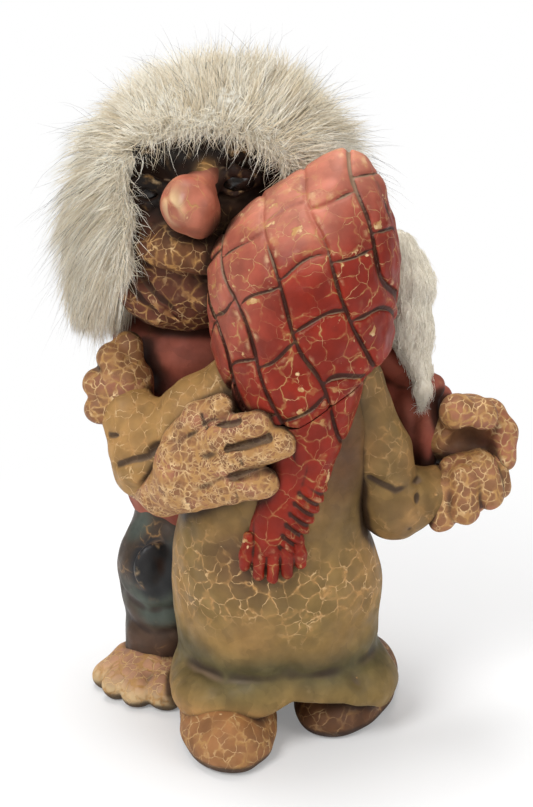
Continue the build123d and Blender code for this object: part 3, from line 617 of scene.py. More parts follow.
# Cheek folds as ridges with radii, and the lines and rolls of the face
SMILE_RIDGES = (
    (((-53, 10, 150), 1.3), ((-49.5, 4.5, 142), 1.4), ((-45.6, -0.6, 133.5), 1.5),
     ((-39.5, -5.6, 126.5), 1.4), ((-35, -7, 123), 0.6)),
    (((-47.5, 2, 150), 1.3), ((-44, -2.2, 142.5), 1.4), ((-39.2, -6.4, 135), 1.5),
     ((-33, -10.2, 128.5), 1.4), ((-28.5, -11, 125), 0.6)),
)
BROW = (((-47, 7, 168), 3.2), ((-37, -2.4, 172), 3.4), ((-25, -5, 171), 3.2), ((-12, -4, 172.5), 3.6),
        ((-1, 4, 168), 3.2))
SOCKETS = ((-12.3, -10.5, 165.5), (-37.5, -9, 163.5))
LIDS = (
    (((-18.6, -6.8, 165), (-13, -8.9, 169.2), (-6.4, -4.8, 165.6)), 1.5),
    (((-18.4, -6.8, 164), (-12.6, -8.2, 161.6), (-6.6, -4.6, 164)), 1.2),
    (((-43, -3.5, 162), (-37, -7, 165.4), (-31, -7.4, 162.5)), 1.9),
    (((-43, -3.5, 160.8), (-37, -6.4, 158), (-31, -7, 160.5)), 1.5),
)
BRIDGE = (((-19.5, -4.5, 170), 3.6), ((-22, -11, 164.5), 4.8))
UPPER_LIP = (((-37, -6.2, 145.5), 5.0), ((-29.5, -9.6, 147), 6.2), ((-21, -9.8, 145), 5.6),
             ((-13, -6.5, 143), 4.6))
LOWER_LIP = (((-27, -9.4, 133), 3.8), ((-20, -9.6, 132), 4.2), ((-13, -7.5, 131), 3.8))
MOUTH = ((-41, -5.5, 141.5), (-36, -10, 139.8), (-29, -13, 138.6), (-21, -13.5, 137), (-11, -10, 136))
SMILE = ((-46, 0, 145), (-40.5, -6.2, 138.5), (-35, -10, 132), (-28.5, -12.6, 126.5), (-24, -13.2, 123.5))
CHEEK = ((-46, 2, 151), (-41, -4.5, 147), (-38, -8.5, 142.5))
FACE_FOLDS = ((MOUTH, 2.0, 1.4), (SMILE, 2.0, 1.5), (CHEEK, 1.6, 1.6))


def his_head(p):
    """Broad face: brow, deep sockets with heavy lids, long upper lip, smile and cheek folds."""
    body = egg(p, HIS_HEAD, HIS_HEAD_RADII)
    body = join(body, egg(p, (-25, 8, 150), (25, 17.5, 29)), 6)
    body = join(body, egg(p, (-27.5, 3.5, 131.5), (20, 14, 13.5)), 7)
    body = join(body, chain(p, BROW, 3), 4)
    for socket in SOCKETS:
        body = carve(body, egg(p, socket, (7.2, 6.5, 5.8)), 3.5)
    for lid, r in LIDS:
        body = join(body, line_gap(p, lid) - r, 1.6)
    body = join(body, chain(p, BRIDGE, 3), 3)
    body = join(body, chain(p, UPPER_LIP, 3), 2.4)
    body = join(body, chain(p, LOWER_LIP, 3), 2.5)
    for stops in SMILE_RIDGES:
        body = join(body, chain(p, stops, 2), 1.6)
    valley = [tuple((np.array(a) + b) / 2 - (0, 1.5, 0)) for (a, _), (b, _) in zip(*SMILE_RIDGES)]
    body = creased(p, body + crease(p, valley, 0.9, 1.5), FACE_FOLDS)
    return body + 0.3 * ripple(p, 10, 95) + 0.12 * ripple(p, 4, 96)


def his_nose(p):
    """Big bulb nose with a drooping lower side."""
    body = egg(p, (-25.2, -18, 162), (7.8, 7.8, 8.0))
    body = join(body, egg(p, (-22.4, -15.8, 157.2), (5.9, 5.8, 5.6)), 3)
    body = join(body, limb(p, (-23.5, -14, 163), (-19.5, -5, 167), 5.4, 4.8), 3)
    return body + 0.25 * ripple(p, 8, 97)


def his_right_eye(p):
    return egg(p, (-36.8, -2.4, 161.4), (5.4, 4.4, 4.2))


def his_left_eye(p):
    return egg(p, (-12.2, -4.6, 165.2), (5.8, 4.6, 4.2))


def her_left_eye(p):
    return her_eye(p, -1)


def her_right_eye(p):
    return her_eye(p, 1)


# Hair: the mass under the strands

# Thickness of the hide, and the egg that the fur grows from
HIDE = 1.5
FUR_CORE = (-17.5, 15.0, 146.0)
FUR_CORE_RADII = (41.0, 34.0, 46.5)


def scalp(p, grow):
    """The head of the tall troll grown by a distance."""
    return egg(p, HIS_HEAD, tuple(r + grow for r in HIS_HEAD_RADII))


def bare_face(p):
    """The room in front of his face, shoulders and her scarf that hair leaves free."""
    opening = join(egg(p, (-20, -12, 145), (22, 40, 33)), egg(p, (-20.5, -12, 164.5), (22.5, 40, 15.5)), 3)
    opening = join(opening, egg(p, (-28, -12, 127), (24, 40, 15)), 3)
    face = meet(opening, p[1] - 14, 6)
    low = p[2] - 120 + 0.2 * (p[1] - 30)
    body = join(face, low, 4)
    body = join(body, scarf_outer(p) - 1.0, 3)
    return join(body, egg(p, in_her_face(0, 36, 0), (19, 30, 25), HER_TURN), 3)


def wig_hide(p):
    """Thin hide glued on the head."""
    body = carve(carve(scalp(p, HIDE), bare_face(p), 1.0), scalp(p, -0.5), 0.3)
    return body + 0.15 * ripple(p, 5, 101)


def wig_underfur(p):
    """Felted fur close to the hide."""
    body = egg(p, FUR_CORE, FUR_CORE_RADII) + 1.3 * ripple(p, 15, 102) + 0.4 * ripple(p, 5, 103)
    return carve(carve(body, bare_face(p), 2.5), scalp(p, HIDE + 0.2), 0.3)


def cut_edge(p):
    """The part of the underfur that borders the free room."""
    return (np.abs(bare_face(p)) < 3) & (scalp(p, HIDE + 1.5) > 0)


# Side lock and cheek wool: stops with radii from the top down
LOCK = (((-46.5, 13, 160), 6.5), ((-50, 10, 147), 8), ((-51, 11, 131), 6.8), ((-51, 11, 120), 4.4))
WOOL = (((34.5, 2, 144), 3.8), ((37.5, 1, 133), 5.6), ((38, 0, 119), 5.2), ((40.5, -3, 108), 3.8))
WOOL_END = (((41, -5, 107), 2.8), ((41.3, -7.5, 103), 2.3), ((41.3, -8, 99.5), 1.7))


def wig_lock_core(p):
    """Felted core of the long side lock."""
    return chain(p, LOCK, 4) + 0.8 * ripple(p, 9, 104)


def cheek_hair_core(p):
    """Soft wool at her cheek, drawn out to a thin end."""
    return join(chain(p, WOOL, 5), chain(p, WOOL_END, 1.5), 1.5) + 0.5 * ripple(p, 9, 105)


def brow_hair_core(p):
    """Wool over her brow under the scarf."""
    return egg(p, in_her_face(0, 20.2, 17.6), (11.4, 5.2, 4.8), HER_TURN) + 0.5 * ripple(p, 7, 106)


# Colours as seen in even light, red green blue from 0 to 255

def colour(red, green, blue):
    """A screen colour as light values."""
    share = np.array((red, green, blue)) / 255.0
    return np.where(share <= 0.04045, share / 12.92, ((share + 0.055) / 1.055) ** 2.4)


OCHRE = colour(152, 117, 67)
OLIVE = colour(122, 102, 55)
MOSS = colour(80, 76, 48)
UMBER = colour(88, 56, 37)
BRICK = colour(132, 33, 15)
SALMON = colour(206, 138, 114)
TAN = colour(144, 99, 65)
ROSE = colour(168, 106, 85)
RUST = colour(160, 110, 66)
PINK = colour(166, 93, 71)
# Near-black, used for the painted shade under his fringe
NEAR_BLACK = colour(25, 20, 17)
PUPIL = colour(12, 10, 9)
PUPIL_BROWN = colour(34, 26, 20)
BARK = colour(84, 52, 40)
JAW = colour(92, 54, 40)
GOLD = colour(178, 134, 80)
SHIRT = colour(158, 88, 70)
TEAL = colour(80, 92, 84)
NIGHT = colour(40, 40, 42)
CLAY = colour(70, 56, 44)
CREAM = colour(230, 198, 150)
# Dark brown of the painted shade in hollows and in places that other bodies close in
SHADE_BROWN = colour(46, 30, 22)
DUST = colour(168, 140, 112)
BONE = colour(255, 247, 229)
FUR_PALE = colour(255, 251, 238)
FUR_GREY = colour(224, 208, 177)
FUR_DARK = colour(74, 62, 50)
HIDE_BROWN = colour(120, 84, 52)


def laid(base, *coats):
    """A base colour with coats over it, each given by its share at every point."""
    tint = base
    for share, coat in coats:
        tint = tint + (coat - tint) * share[:, None]
    return tint


def near(points, centre, reach):
    """From 1 at a centre to 0 well outside its reach."""
    gap = np.linalg.norm((points - np.array(centre)) / np.array(reach), axis=1)
    return np.exp(-gap ** 2)


# Paints: the colour at every point, from its place and its normal

def soot_tint(points, _):
    return np.tile(NEAR_BLACK, (len(points), 1))


def dress_tint(points, _):
    p = points.T
    patchy = 0.5 + 0.5 * ripple(p, 26, 201)
    low = 1 - smooth_step(p[2], 20, 36)
    band = np.exp(-((p[2] - 26 - 1.5 * ripple(p, 30, 202)) / 6) ** 2)
    # Painted shade in umber under the tassels of the scarf tail and beside the tail, towards her right sleeve
    shade_under_tail = near(points, (-8, -38, 62), (14, 14, 12))
    shade_beside_tail = near(points, (18, -32, 93), (11, 14, 22))
    umber = np.clip(shade_under_tail + shade_beside_tail, 0, 1)
    # Lighter gold on the left hem flap: painted light on the side towards the key lamp
    lit_flap = np.exp(-((p[2] - 12) / 4) ** 2) * smooth_step(-p[0], -4, 10)
    return laid(OCHRE, (0.8 * patchy, OLIVE), (0.5 * low, OLIVE), (0.85 * band, MOSS), (0.9 * umber, UMBER),
                (lit_flap, GOLD))


def dress_crackle(points):
    p = points.T
    belt = np.exp(-((p[2] - 54) / 15) ** 2)
    hem = np.exp(-((p[2] - 12) / 5) ** 2) * smooth_step(-p[0], -2, 8)
    return np.clip(0.1 + 0.5 * belt + 0.4 * hem, 0, 1)


def sleeve_tint(points, _):
    p = points.T
    patchy = 0.5 + 0.5 * ripple(p, 17, 203)
    # Lighter gold on her left sleeve is painted light on the lamp side; darker umber on her right sleeve is
    # painted shade
    return laid(OCHRE, (0.8 * patchy, OLIVE), (0.5 * smooth_step(-p[0], 0, 10), GOLD),
                (0.3 * smooth_step(p[0], 10, 20), UMBER))


def scarf_tint(points, normals):
    p = points.T
    # Pale salmon over the top: partly the cloth's own paler colour, partly painted light from above,
    # strongest where the cloth faces up; the salmon patch at the upper left is a painted highlight
    upward = 0.4 + 0.6 * np.clip(normals[:, 2], 0, 1)
    pale = smooth_step(p[2] - 0.35 * p[0] + 6 * ripple(p, 24, 204), 142, 172) * upward
    left = near(points, (-14, -30, 142), (12, 16, 18))
    return laid(BRICK, (0.8 * pale, SALMON), (0.4 * left, SALMON))


def skin_tint(points, _):
    p = points.T
    rosy = smooth_step(ripple(p, 13, 205), 0.05, 0.6)
    return laid(TAN, (0.55 * rosy, ROSE))


def palm_hollow(points):
    """From 1 deep in the open hand to 0 outside."""
    return near(points, (54, -8, 87), (9, 9, 8))


def palm_crackle(points):
    return 0.8 * (1 - palm_hollow(points))


def palm_tint(points, normals):
    outer = near(points, (64.5, -8, 88), (5, 8, 9))
    # Jaw brown in the hollow of the palm is painted shade
    return laid(skin_tint(points, normals), (0.75 * outer, PINK), (0.25 * palm_hollow(points), JAW))


def foot_tint(points, _):
    rosy = smooth_step(points[:, 2], 4, 10)
    return laid(CREAM * 0.8, (0.7 * rosy, ROSE))


def shoe_tint(points, _):
    patchy = 0.5 + 0.5 * ripple(points.T, 16, 206)
    # The right shoe is darker umber: painted shade
    shaded = smooth_step(points[:, 0], 0, 8)
    return laid(RUST, (0.5 * patchy, TAN), (0.8 * shaded, UMBER))


def nose_tint(points, _):
    patchy = 0.5 + 0.5 * ripple(points.T, 9, 207)
    root = smooth_step(points[:, 1], -14.5, -9)
    worn = near(points, (-30.0, -25, 164), (3.4, 5, 5.0)) * smooth_step(ripple(points.T, 5, 214), -0.7, 0.2)
    # Umber on the lower right side of the nose: painted shade
    under = near(points, (-18, -17, 155.5), (6, 8, 6))
    return laid(PINK, (0.3 * patchy, SALMON), (0.8 * root, BARK), (0.6 * under, UMBER), (worn, CREAM))


def her_nose_tint(points, _):
    patchy = 0.5 + 0.5 * ripple(points.T, 9, 208)
    return laid(PINK, (0.4 * patchy, ROSE))


def her_face_tint(points, _):
    cheeks = sum(near(points, in_her_face(side * 9.5, 21, -5), (7, 7, 6)) for side in (-1, 1))
    eyes = sum(near(points, in_her_face(side * 8.5, 21, 7), (6, 6, 5)) for side in (-1, 1))
    return laid(TAN, (0.7 * np.clip(cheeks, 0, 1), ROSE), (0.7 * np.clip(eyes, 0, 1), BARK))


def his_face_tint(points, _):
    p = points.T
    # Near-black over the eyes and brow: painted shade under the fringe of hair
    upper = smooth_step(p[2], 147, 157)
    lines = [[place for place, _ in stops] for stops in SMILE_RIDGES]
    ridge = np.max([np.exp(-(line_gap(p, line) / 3.0) ** 2) for line in lines], axis=0)
    lip = near(points, (-29, -14, 146.5), (10, 6, 6))
    bridge = near(points, (-20.5, -10, 169), (2.4, 5, 2.4))
    beside = near(points, (-13, -8, 152.5), (6, 8, 5))
    lids = near(points, (-12.5, -8, 165.5), (6, 6, 5))
    cheek = near(points, (-42, -4, 149), (6, 8, 6))
    return laid(JAW, (upper, NEAR_BLACK), (0.5 * cheek, ROSE), (0.25 * ridge, ROSE), (0.2 * lip, GOLD),
                (0.8 * bridge, GOLD), (0.6 * beside, TAN), (0.35 * lids, BARK))


def his_face_crackle(points):
    lip = near(points, (-27, -14, 146.5), (14, 9, 7))
    low = 1 - smooth_step(points[:, 2], 126, 135)
    beside = near(points, (-13, -8, 152.5), (6, 8, 5))
    bridge = near(points, (-20.5, -10, 169), (3, 6, 3))
    upper = smooth_step(points[:, 2], 150, 157)
    return np.clip((0.32 + 0.5 * lip + 0.45 * low) * (1 - upper) + 0.6 * beside + bridge, 0, 1)


def shirt_tint(points, _):
    patchy = 0.5 + 0.5 * ripple(points.T, 20, 209)
    return laid(SHIRT, (0.35 * patchy, BRICK))


def trouser_tint(points, _):
    p = points.T
    patchy = smooth_step(ripple(p, 20, 210), -0.3, 0.7)
    from_patch = np.linalg.norm((points - (-37.5, 1.5, 41.5)) / (7.5, 9, 9.5), axis=1)
    patch = smooth_step(1.25 - from_patch, 0.0, 0.4)
    low = 1 - smooth_step(p[2], 14, 26)
    return laid(CLAY, (0.75 * patchy, TEAL), (0.5 * low, UMBER), (0.95 * patch, NIGHT))


# Meshes

# Block of space round the figure and its voxel size, for the painted shade in hollows and between parts
ROOM_LOW = (-80.0, -62.0, -4.0)
ROOM_HIGH = (80.0, 62.0, 208.0)
COARSE = 2.5


def grid_places(low, high, step):
    """Every place of a block of voxels, as three arrays."""
    axes = [np.arange(a, b + step, step, dtype=np.float32) for a, b in zip(low, high)]
    return np.array(np.meshgrid(*axes, indexing="ij", copy=False), dtype=np.float32)


def node_room(node, margin):
    """The lowest and highest corner round a CAD node, in millimetres."""
    low, high = (np.array(corner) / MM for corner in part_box(node))
    return low - margin, high + margin


def surface(values, low, step, band):
    """Places and four-sided faces where a grid of distances is zero."""
    grid = openvdb.FloatGrid(band)
    grid.copyFromArray(np.clip(values, -band, band))
    points, quads = grid.convertToQuads(0.0)
    return points * step + low, quads


def sample(values, low, step, points):
    """Grid values at places between the voxels."""
    at = np.clip((points - low) / step, 0, np.array(values.shape) - 1.001)
    base = at.astype(int)
    part = at - base
    total = 0
    for corner in np.ndindex(2, 2, 2):
        weight = np.prod(np.where(corner, part, 1 - part), axis=1)
        total = total + weight * values[tuple((base + corner).T)]
    return total


def blurred(values, reach):
    """A grid averaged over a few voxels each way."""
    width = 2 * reach + 1
    for axis in range(3):
        pads = [(reach + 1, reach) if a == axis else (0, 0) for a in range(3)]
        total = np.cumsum(np.pad(values, pads, mode="edge"), axis=axis, dtype=np.float64)
        count = values.shape[axis]
        upper = np.take(total, np.arange(width, width + count), axis=axis)
        lower = np.take(total, np.arange(count), axis=axis)
        values = ((upper - lower) / width).astype(np.float32)
    return values


def mesh_object(name, points, faces):
    """A smooth-shaded object from places in millimetres and lists of equal-sided faces."""
    mesh = bpy.data.meshes.new(name)
    mesh.vertices.add(len(points))
    mesh.vertices.foreach_set("co", (np.asarray(points, dtype=np.float32) * MM).ravel())
    corners = np.concatenate([f.ravel() for f in faces]).astype(np.int32)
    sides = np.concatenate([np.full(len(f), f.shape[1]) for f in faces]).astype(np.int32)
    mesh.loops.add(len(corners))
    mesh.loops.foreach_set("vertex_index", corners)
    mesh.polygons.add(len(sides))
    mesh.polygons.foreach_set("loop_start", np.concatenate(([0], np.cumsum(sides)[:-1])).astype(np.int32))
    mesh.polygons.foreach_set("loop_total", sides)
    mesh.polygons.foreach_set("use_smooth", np.ones(len(sides), dtype=bool))
    mesh.update(calc_edges=True)
    mesh.validate()
    thing = bpy.data.objects.new(name, mesh)
    bpy.context.scene.collection.objects.link(thing)
    return thing


def set_number(thing, name, values):
    """One number per vertex, for the materials."""
    layer = thing.data.attributes.new(name, "FLOAT", "POINT")
    layer.data.foreach_set("value", np.asarray(values, dtype=np.float32))


def set_colour(thing, name, values):
    """One colour per vertex, for the materials."""
    layer = thing.data.attributes.new(name, "FLOAT_COLOR", "POINT")
    rgba = np.ones((len(values), 4), dtype=np.float32)
    rgba[:, :3] = values
    layer.data.foreach_set("color", rgba.ravel())


def vertex_normals(thing):
    normals = np.zeros(len(thing.data.vertices) * 3, dtype=np.float32)
    thing.data.vertex_normals.foreach_get("vector", normals)
    return normals.reshape(-1, 3)


def settle(thing, node, material):
    """Fixes a piece to the frame, in the place of a node, and gives it its finish."""
    thing.data.materials.append(material)
    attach(thing, "root")
    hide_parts(node)


class Surroundings:
    """The nearness of all cast bodies and hair, for the painted shade in hollows and between parts."""

    def __init__(self, fields):
        self.low = np.array(ROOM_LOW)
        places = grid_places(self.low, ROOM_HIGH, COARSE)
        self.values = np.minimum.reduce([f(places) for f in fields])

    def shade(self, points, normals):
        """How closed in each point is, from 0 in the open to 1."""
        total = 0
        for reach, weight in ((2.5, 0.3), (5.0, 0.4), (9.0, 0.3)):
            free = sample(self.values, self.low, COARSE, points + normals * reach) / reach
            total = total + weight * np.clip(1 - free, 0, 1)
        return total


def cast_piece(name, node, material, field, step, tint, crackle, around, margin=5.0):
    """Meshes one cast body and stores its paint, crackle, relief and painted shade on it."""
    low, high = node_room(node, margin)
    values = field(grid_places(low, high, step)).astype(np.float32)
    points, quads = surface(values, low, step, 4 * step)
    thing = mesh_object(name, points, [quads])
    normals = vertex_normals(thing)
    relief = sample(blurred(values, max(1, round(1.3 / step))), low, step, points)
    set_number(thing, "relief", np.clip(relief / 0.35, -1, 1))
    # How closed in each point is, for the painted shade
    set_number(thing, "painted_shade", around.shade(points, normals))
    set_number(thing, "crackle", crackle(points) if callable(crackle) else np.full(len(points), crackle))
    set_colour(thing, "tint", tint(points, normals))
    settle(thing, node, material)


# Materials

class Net:
    """A short way to add and join the shader nodes of one material."""

    def __init__(self, name):
        self.material = bpy.data.materials.new(name)
        self.material.use_nodes = True
        self.tree = self.material.node_tree
        self.shader = self.tree.nodes["Principled BSDF"]
        self.where = self.add("ShaderNodeTexCoord").outputs["Object"]

    def add(self, kind, values=None, **settings):
        node = self.tree.nodes.new(kind)
        for key, value in settings.items():
            setattr(node, key, value)
        for key, value in (values or {}).items():
            self.put(node.inputs[key], value)
        return node

    def put(self, socket, value):
        if isinstance(value, bpy.types.NodeSocket):
            self.tree.links.new(value, socket)
        else:
            socket.default_value = value

    def finish(self, key, value):
        self.put(self.shader.inputs[key], value)

    def noise(self, scale, detail=3.0, where=None):
        values = {"Vector": where or self.where, "Scale": scale, "Detail": detail}
        return self.add("ShaderNodeTexNoise", values).outputs["Fac"]

    def edges(self, scale, where):
        values = {"Vector": where, "Scale": scale}
        return self.add("ShaderNodeTexVoronoi", values, feature="DISTANCE_TO_EDGE").outputs["Distance"]

    def between(self, value, low, high, start=0.0, end=1.0):
        values = {"Value": value, "From Min": low, "From Max": high, "To Min": start, "To Max": end}
        return self.add("ShaderNodeMapRange", values, interpolation_type="SMOOTHSTEP").outputs["Result"]

    def math(self, operation, a, b=0.0):
        return self.add("ShaderNodeMath", {0: a, 1: b}, operation=operation).outputs[0]

    def mix(self, share, a, b, blend="MIX"):
        node = self.add("ShaderNodeMix", {0: share, 6: a, 7: b}, data_type="RGBA", blend_type=blend)
        return node.outputs[2]

    def number(self, name):
        return self.add("ShaderNodeAttribute", attribute_name=name).outputs["Fac"]

    def tint(self, name):
        return self.add("ShaderNodeAttribute", attribute_name=name).outputs["Color"]

    def wavering(self, scale, reach):
        """Places pushed about by a noise, for uneven lines."""
        values = {"Vector": self.where, "Scale": scale, "Detail": 2.0}
        push = self.add("ShaderNodeTexNoise", values).outputs["Color"]
        values = {0: push, 1: (reach,) * 3, 2: self.where}
        return self.add("ShaderNodeVectorMath", values, operation="MULTIPLY_ADD").outputs[0]

    def bump(self, height, strength, distance):
        """Fine relief of the surface."""
        values = {"Height": height, "Strength": strength, "Distance": distance}
        self.finish("Normal", self.add("ShaderNodeBump", values).outputs[0])


def rgba(light):
    return (*[float(v) for v in light], 1.0)


def painted(name, cell, crack, lace, chips, rough, broken, dusty=0.35, gloss=0.3):
    """Old crackled paint: cream cracks and chips, painted shade in hollows and closed-in places, dusty tops,
    worn ridges.
    """
    net = Net(name)
    crackle, relief, painted_shade = net.number("crackle"), net.number("relief"), net.number("painted_shade")
    bent = net.wavering(260.0, 0.0034)
    swell = net.between(net.noise(300.0, 3.0), 0.32, 0.7, 0.25, 1.7)
    half = net.math("MULTIPLY", swell, crack / cell)
    big = net.math("DIVIDE", net.edges(1000.0 / cell, bent), half)
    shown = net.between(net.math("ADD", net.noise(75.0, 3.0), crackle), 0.72, 1.08)
    run = net.between(net.noise(430.0, 2.0), 0.4, 0.56, 1.0 - broken, 1.0)
    coarse = net.math("MULTIPLY", net.between(big, 0.4, 1.0, 1.0, 0.0), net.math("MULTIPLY", shown, run))
    small = net.math("DIVIDE", net.edges(2100.0 / cell, bent), net.math("MULTIPLY", half, 1.25))
    laced = net.between(net.math("ADD", net.noise(130.0, 3.0), crackle), 1.66 - lace, 1.9 - lace)
    fine = net.math("MULTIPLY", net.between(small, 0.4, 1.0, 1.0, 0.0), laced)
    chip = net.between(net.noise(210.0, 5.0), 0.72 - chips, 0.75 - chips)
    ridge = net.math("MULTIPLY", net.between(relief, 0.25, 0.9), net.between(net.noise(330.0, 4.0), 0.5, 0.7))
    lines = net.math("MAXIMUM", coarse, fine)
    bare = net.math("MAXIMUM", lines, net.math("MAXIMUM", chip, net.math("MULTIPLY", ridge, 0.5)))
    island = net.add("ShaderNodeTexVoronoi", {"Vector": bent, "Scale": 1000.0 / cell}).outputs["Color"]
    flake = net.between(net.add("ShaderNodeSeparateColor", {0: island}).outputs[0], 0.0, 1.0, 0.9, 1.07)
    mottle = net.math("MULTIPLY", flake, net.between(net.noise(150.0, 6.0), 0.25, 0.8, 0.72, 1.2))
    grey = net.add("ShaderNodeCombineColor", {0: mottle, 1: mottle, 2: mottle}).outputs[0]
    paint = net.mix(1.0, net.tint("tint"), grey, "MULTIPLY")
    halo = net.math("MULTIPLY", net.between(big, 0.8, 2.4, 0.3, 0.0), shown)
    paint = net.mix(halo, paint, rgba(GOLD))
    cream = net.mix(net.between(net.noise(300.0, 3.0), 0.3, 0.62), rgba(CREAM), rgba(GOLD))
    body = net.mix(net.math("MULTIPLY", bare, 0.92), paint, cream)
    up = net.add("ShaderNodeSeparateXYZ", {0: net.add("ShaderNodeNewGeometry").outputs["Normal"]}).outputs[2]
    settled = net.math("MULTIPLY", net.between(up, 0.3, 0.9), net.between(relief, -0.15, -0.7))
    # Painted shade: dark brown where the surface dips and where other bodies close it in
    hollow = net.math("MULTIPLY", net.between(relief, -0.12, -0.8), 0.85)
    closed = net.between(painted_shade, 0.3, 0.95, 0.0, 0.85)
    dark = net.mix(net.math("MAXIMUM", hollow, closed), body, rgba(SHADE_BROWN))
    net.finish("Base Color", net.mix(net.math("MULTIPLY", settled, dusty), dark, rgba(DUST)))
    net.finish("Roughness", net.between(net.noise(190.0, 3.0), 0.3, 0.7, rough - 0.1, rough + 0.14))
    net.finish("Specular IOR Level", gloss)
    net.bump(net.math("SUBTRACT", net.math("MULTIPLY", net.noise(900.0, 4.0), 0.35), bare), 0.6, 0.00028)
    return net.material


def glossy_eye():
    """Dark glassy eye paint with a brown cast."""
    net = Net("eye_gloss")
    cloudy = net.between(net.noise(400.0), 0.4, 0.7)
    net.finish("Base Color", net.mix(cloudy, rgba(PUPIL), rgba(PUPIL_BROWN)))
    net.finish("Roughness", net.between(net.noise(500.0), 0.3, 0.7, 0.15, 0.3))
    net.finish("Specular IOR Level", 0.4)
    return net.material


def felted(name, pale, deep, sheen=0.0):
    """Matted fibres under the strands."""
    net = Net(name)
    net.finish("Sheen Weight", sheen)
    fibre = net.noise(700.0, 5.0, net.wavering(90.0, 0.004))
    net.finish("Base Color", net.mix(net.between(fibre, 0.3, 0.75), rgba(deep), rgba(pale)))
    net.finish("Roughness", 0.9)
    net.bump(fibre, 0.8, 0.0006)
    return net.material


def leathery(name, base):
    """Dry hide with fine grain."""
    net = Net(name)
    net.finish("Base Color", net.mix(net.noise(200.0, 4.0), rgba(base * 0.35), rgba(base)))
    net.finish("Roughness", net.between(net.noise(260.0), 0.3, 0.7, 0.6, 0.85))
    net.bump(net.edges(1400.0, net.wavering(500.0, 0.0008)), 0.5, 0.0003)
    return net.material


def stranded(name, root, pale, grey, dark_from, sheen=0.15):
    """Hair whose colour runs along each strand and differs from strand to strand."""
    net = Net(name)
    place = net.add("ShaderNodeSeparateXYZ", {0: net.add("ShaderNodeUVMap", uv_map="strand").outputs[0]})
    tone, along = place.outputs[0], place.outputs[1]
    shade = net.mix(net.between(tone, 0.0, dark_from), rgba(pale), rgba(grey))
    shade = net.mix(net.between(tone, dark_from, dark_from + 0.01), shade, rgba(FUR_DARK))
    # Each strand runs from its root colour to its shade; a darker root colour is partly the fur's own colour,
    # partly painted shade between the tufts
    net.finish("Base Color", net.mix(net.between(along, 0.0, 0.45), rgba(root), shade))
    net.finish("Roughness", net.between(along, 0.0, 1.0, 0.75, 0.5))
    net.finish("Specular IOR Level", 0.25)
    net.finish("Sheen Weight", sheen)
    return net.material


# Strands

# Rings and sides of one strand, and a direction that few strands run along
RINGS = 5
SIDES = 3
ASKEW = np.array((0.31, 0.87, 0.38))


def unit(ways):
    """Directions of length one."""
    return ways / np.maximum(np.linalg.norm(ways, axis=-1, keepdims=True), 1e-6)


def strand_paths(roots, ways, lengths, bends, curls, draw):
    """Places along every strand, from root to tip: a straight run, a bend and a curl."""
    t = np.linspace(0, 1, RINGS)[None, :, None]
    path = roots[:, None] + ways[:, None] * lengths[:, None, None] * t + bends[:, None] * t ** 2
    side = unit(np.cross(ways, draw.normal(size=ways.shape)))
    other = np.cross(ways, side)
    rate = draw.uniform(2.0, 5.0, len(roots))[:, None, None]
    turns = rate * t + draw.uniform(0, 6.28, len(roots))[:, None, None]
    wave = (side[:, None] * np.sin(turns) + other[:, None] * np.cos(turns)) * curls[:, None, None] * t
    return path + wave


def clumped(paths, cell, pull, draw):
    """Draws the tips of neighbouring strands together into tufts."""
    keys = np.floor((paths[:, 0] + draw.normal(size=(len(paths), 3)) * cell * 0.2) / cell).astype(int)
    _, group = np.unique(keys, axis=0, return_inverse=True)
    group = group.ravel()
    counts = np.bincount(group).astype(float)
    t = np.linspace(0, 1, RINGS)[None, :, None]
    centre = np.stack([np.stack([np.bincount(group, paths[:, k, a]) / counts for a in range(3)], axis=1)
                       for k in range(RINGS)], axis=1)
    return paths + (centre[group] - paths) * pull * t ** 1.5


def strand_mesh(name, paths, widths, tones):
    """Thin three-sided strands with a map of tone and place along the strand."""
    count = len(paths)
    way = unit(np.gradient(paths, axis=1))
    side = unit(np.cross(way, ASKEW))
    other = np.cross(way, side)
    t = np.linspace(0, 1, RINGS)
    radius = widths[:, None] / 2 * (1 - t[None]) ** 0.6
    angles = (np.arange(SIDES) * 2 * math.pi / SIDES)[None, None, :, None]
    ring = side[:, :, None] * np.cos(angles) + other[:, :, None] * np.sin(angles)
    body = paths[:, :-1, None] + ring[:, :-1] * radius[:, :-1, None, None]
    points = np.concatenate([body.reshape(count, -1, 3), paths[:, -1:]], axis=1)
    per = (RINGS - 1) * SIDES + 1
    quads, tips = [], []
    for k in range(RINGS - 2):
        for s in range(SIDES):
            a, b = k * SIDES + s, k * SIDES + (s + 1) % SIDES
            quads.append((a, b, b + SIDES, a + SIDES))
    for s in range(SIDES):
        tips.append(((RINGS - 2) * SIDES + s, (RINGS - 2) * SIDES + (s + 1) % SIDES, per - 1))
    base = (np.arange(count) * per)[:, None, None]
    faces = [(base + np.array(quads)[None]).reshape(-1, 4), (base + np.array(tips)[None]).reshape(-1, 3)]
    thing = mesh_object(name, points.reshape(-1, 3), faces)
    along = np.concatenate([np.repeat(t[:-1], SIDES), [1.0]])
    place = np.stack([np.repeat(tones, per), np.tile(along, count)], axis=1)
    corner = np.zeros(len(thing.data.loops), dtype=np.int32)
    thing.data.loops.foreach_get("vertex_index", corner)
    for layer in ("strand", "OFBake"):
        thing.data.uv_layers.new(name=layer).data.foreach_set("uv", place[corner].astype(np.float32).ravel())
    return thing


STRANDS_PER_PIECE = 8800


def strand_pieces(name, paths, widths, tones, node, material):
    """Splits strands into pieces of a handy size."""
    parts = math.ceil(len(paths) / STRANDS_PER_PIECE)
    for k in range(parts):
        chosen = slice(k, None, parts)
        thing = strand_mesh(f"{name}_{k + 1}", paths[chosen], widths[chosen], tones[chosen])
        settle(thing, node, material)


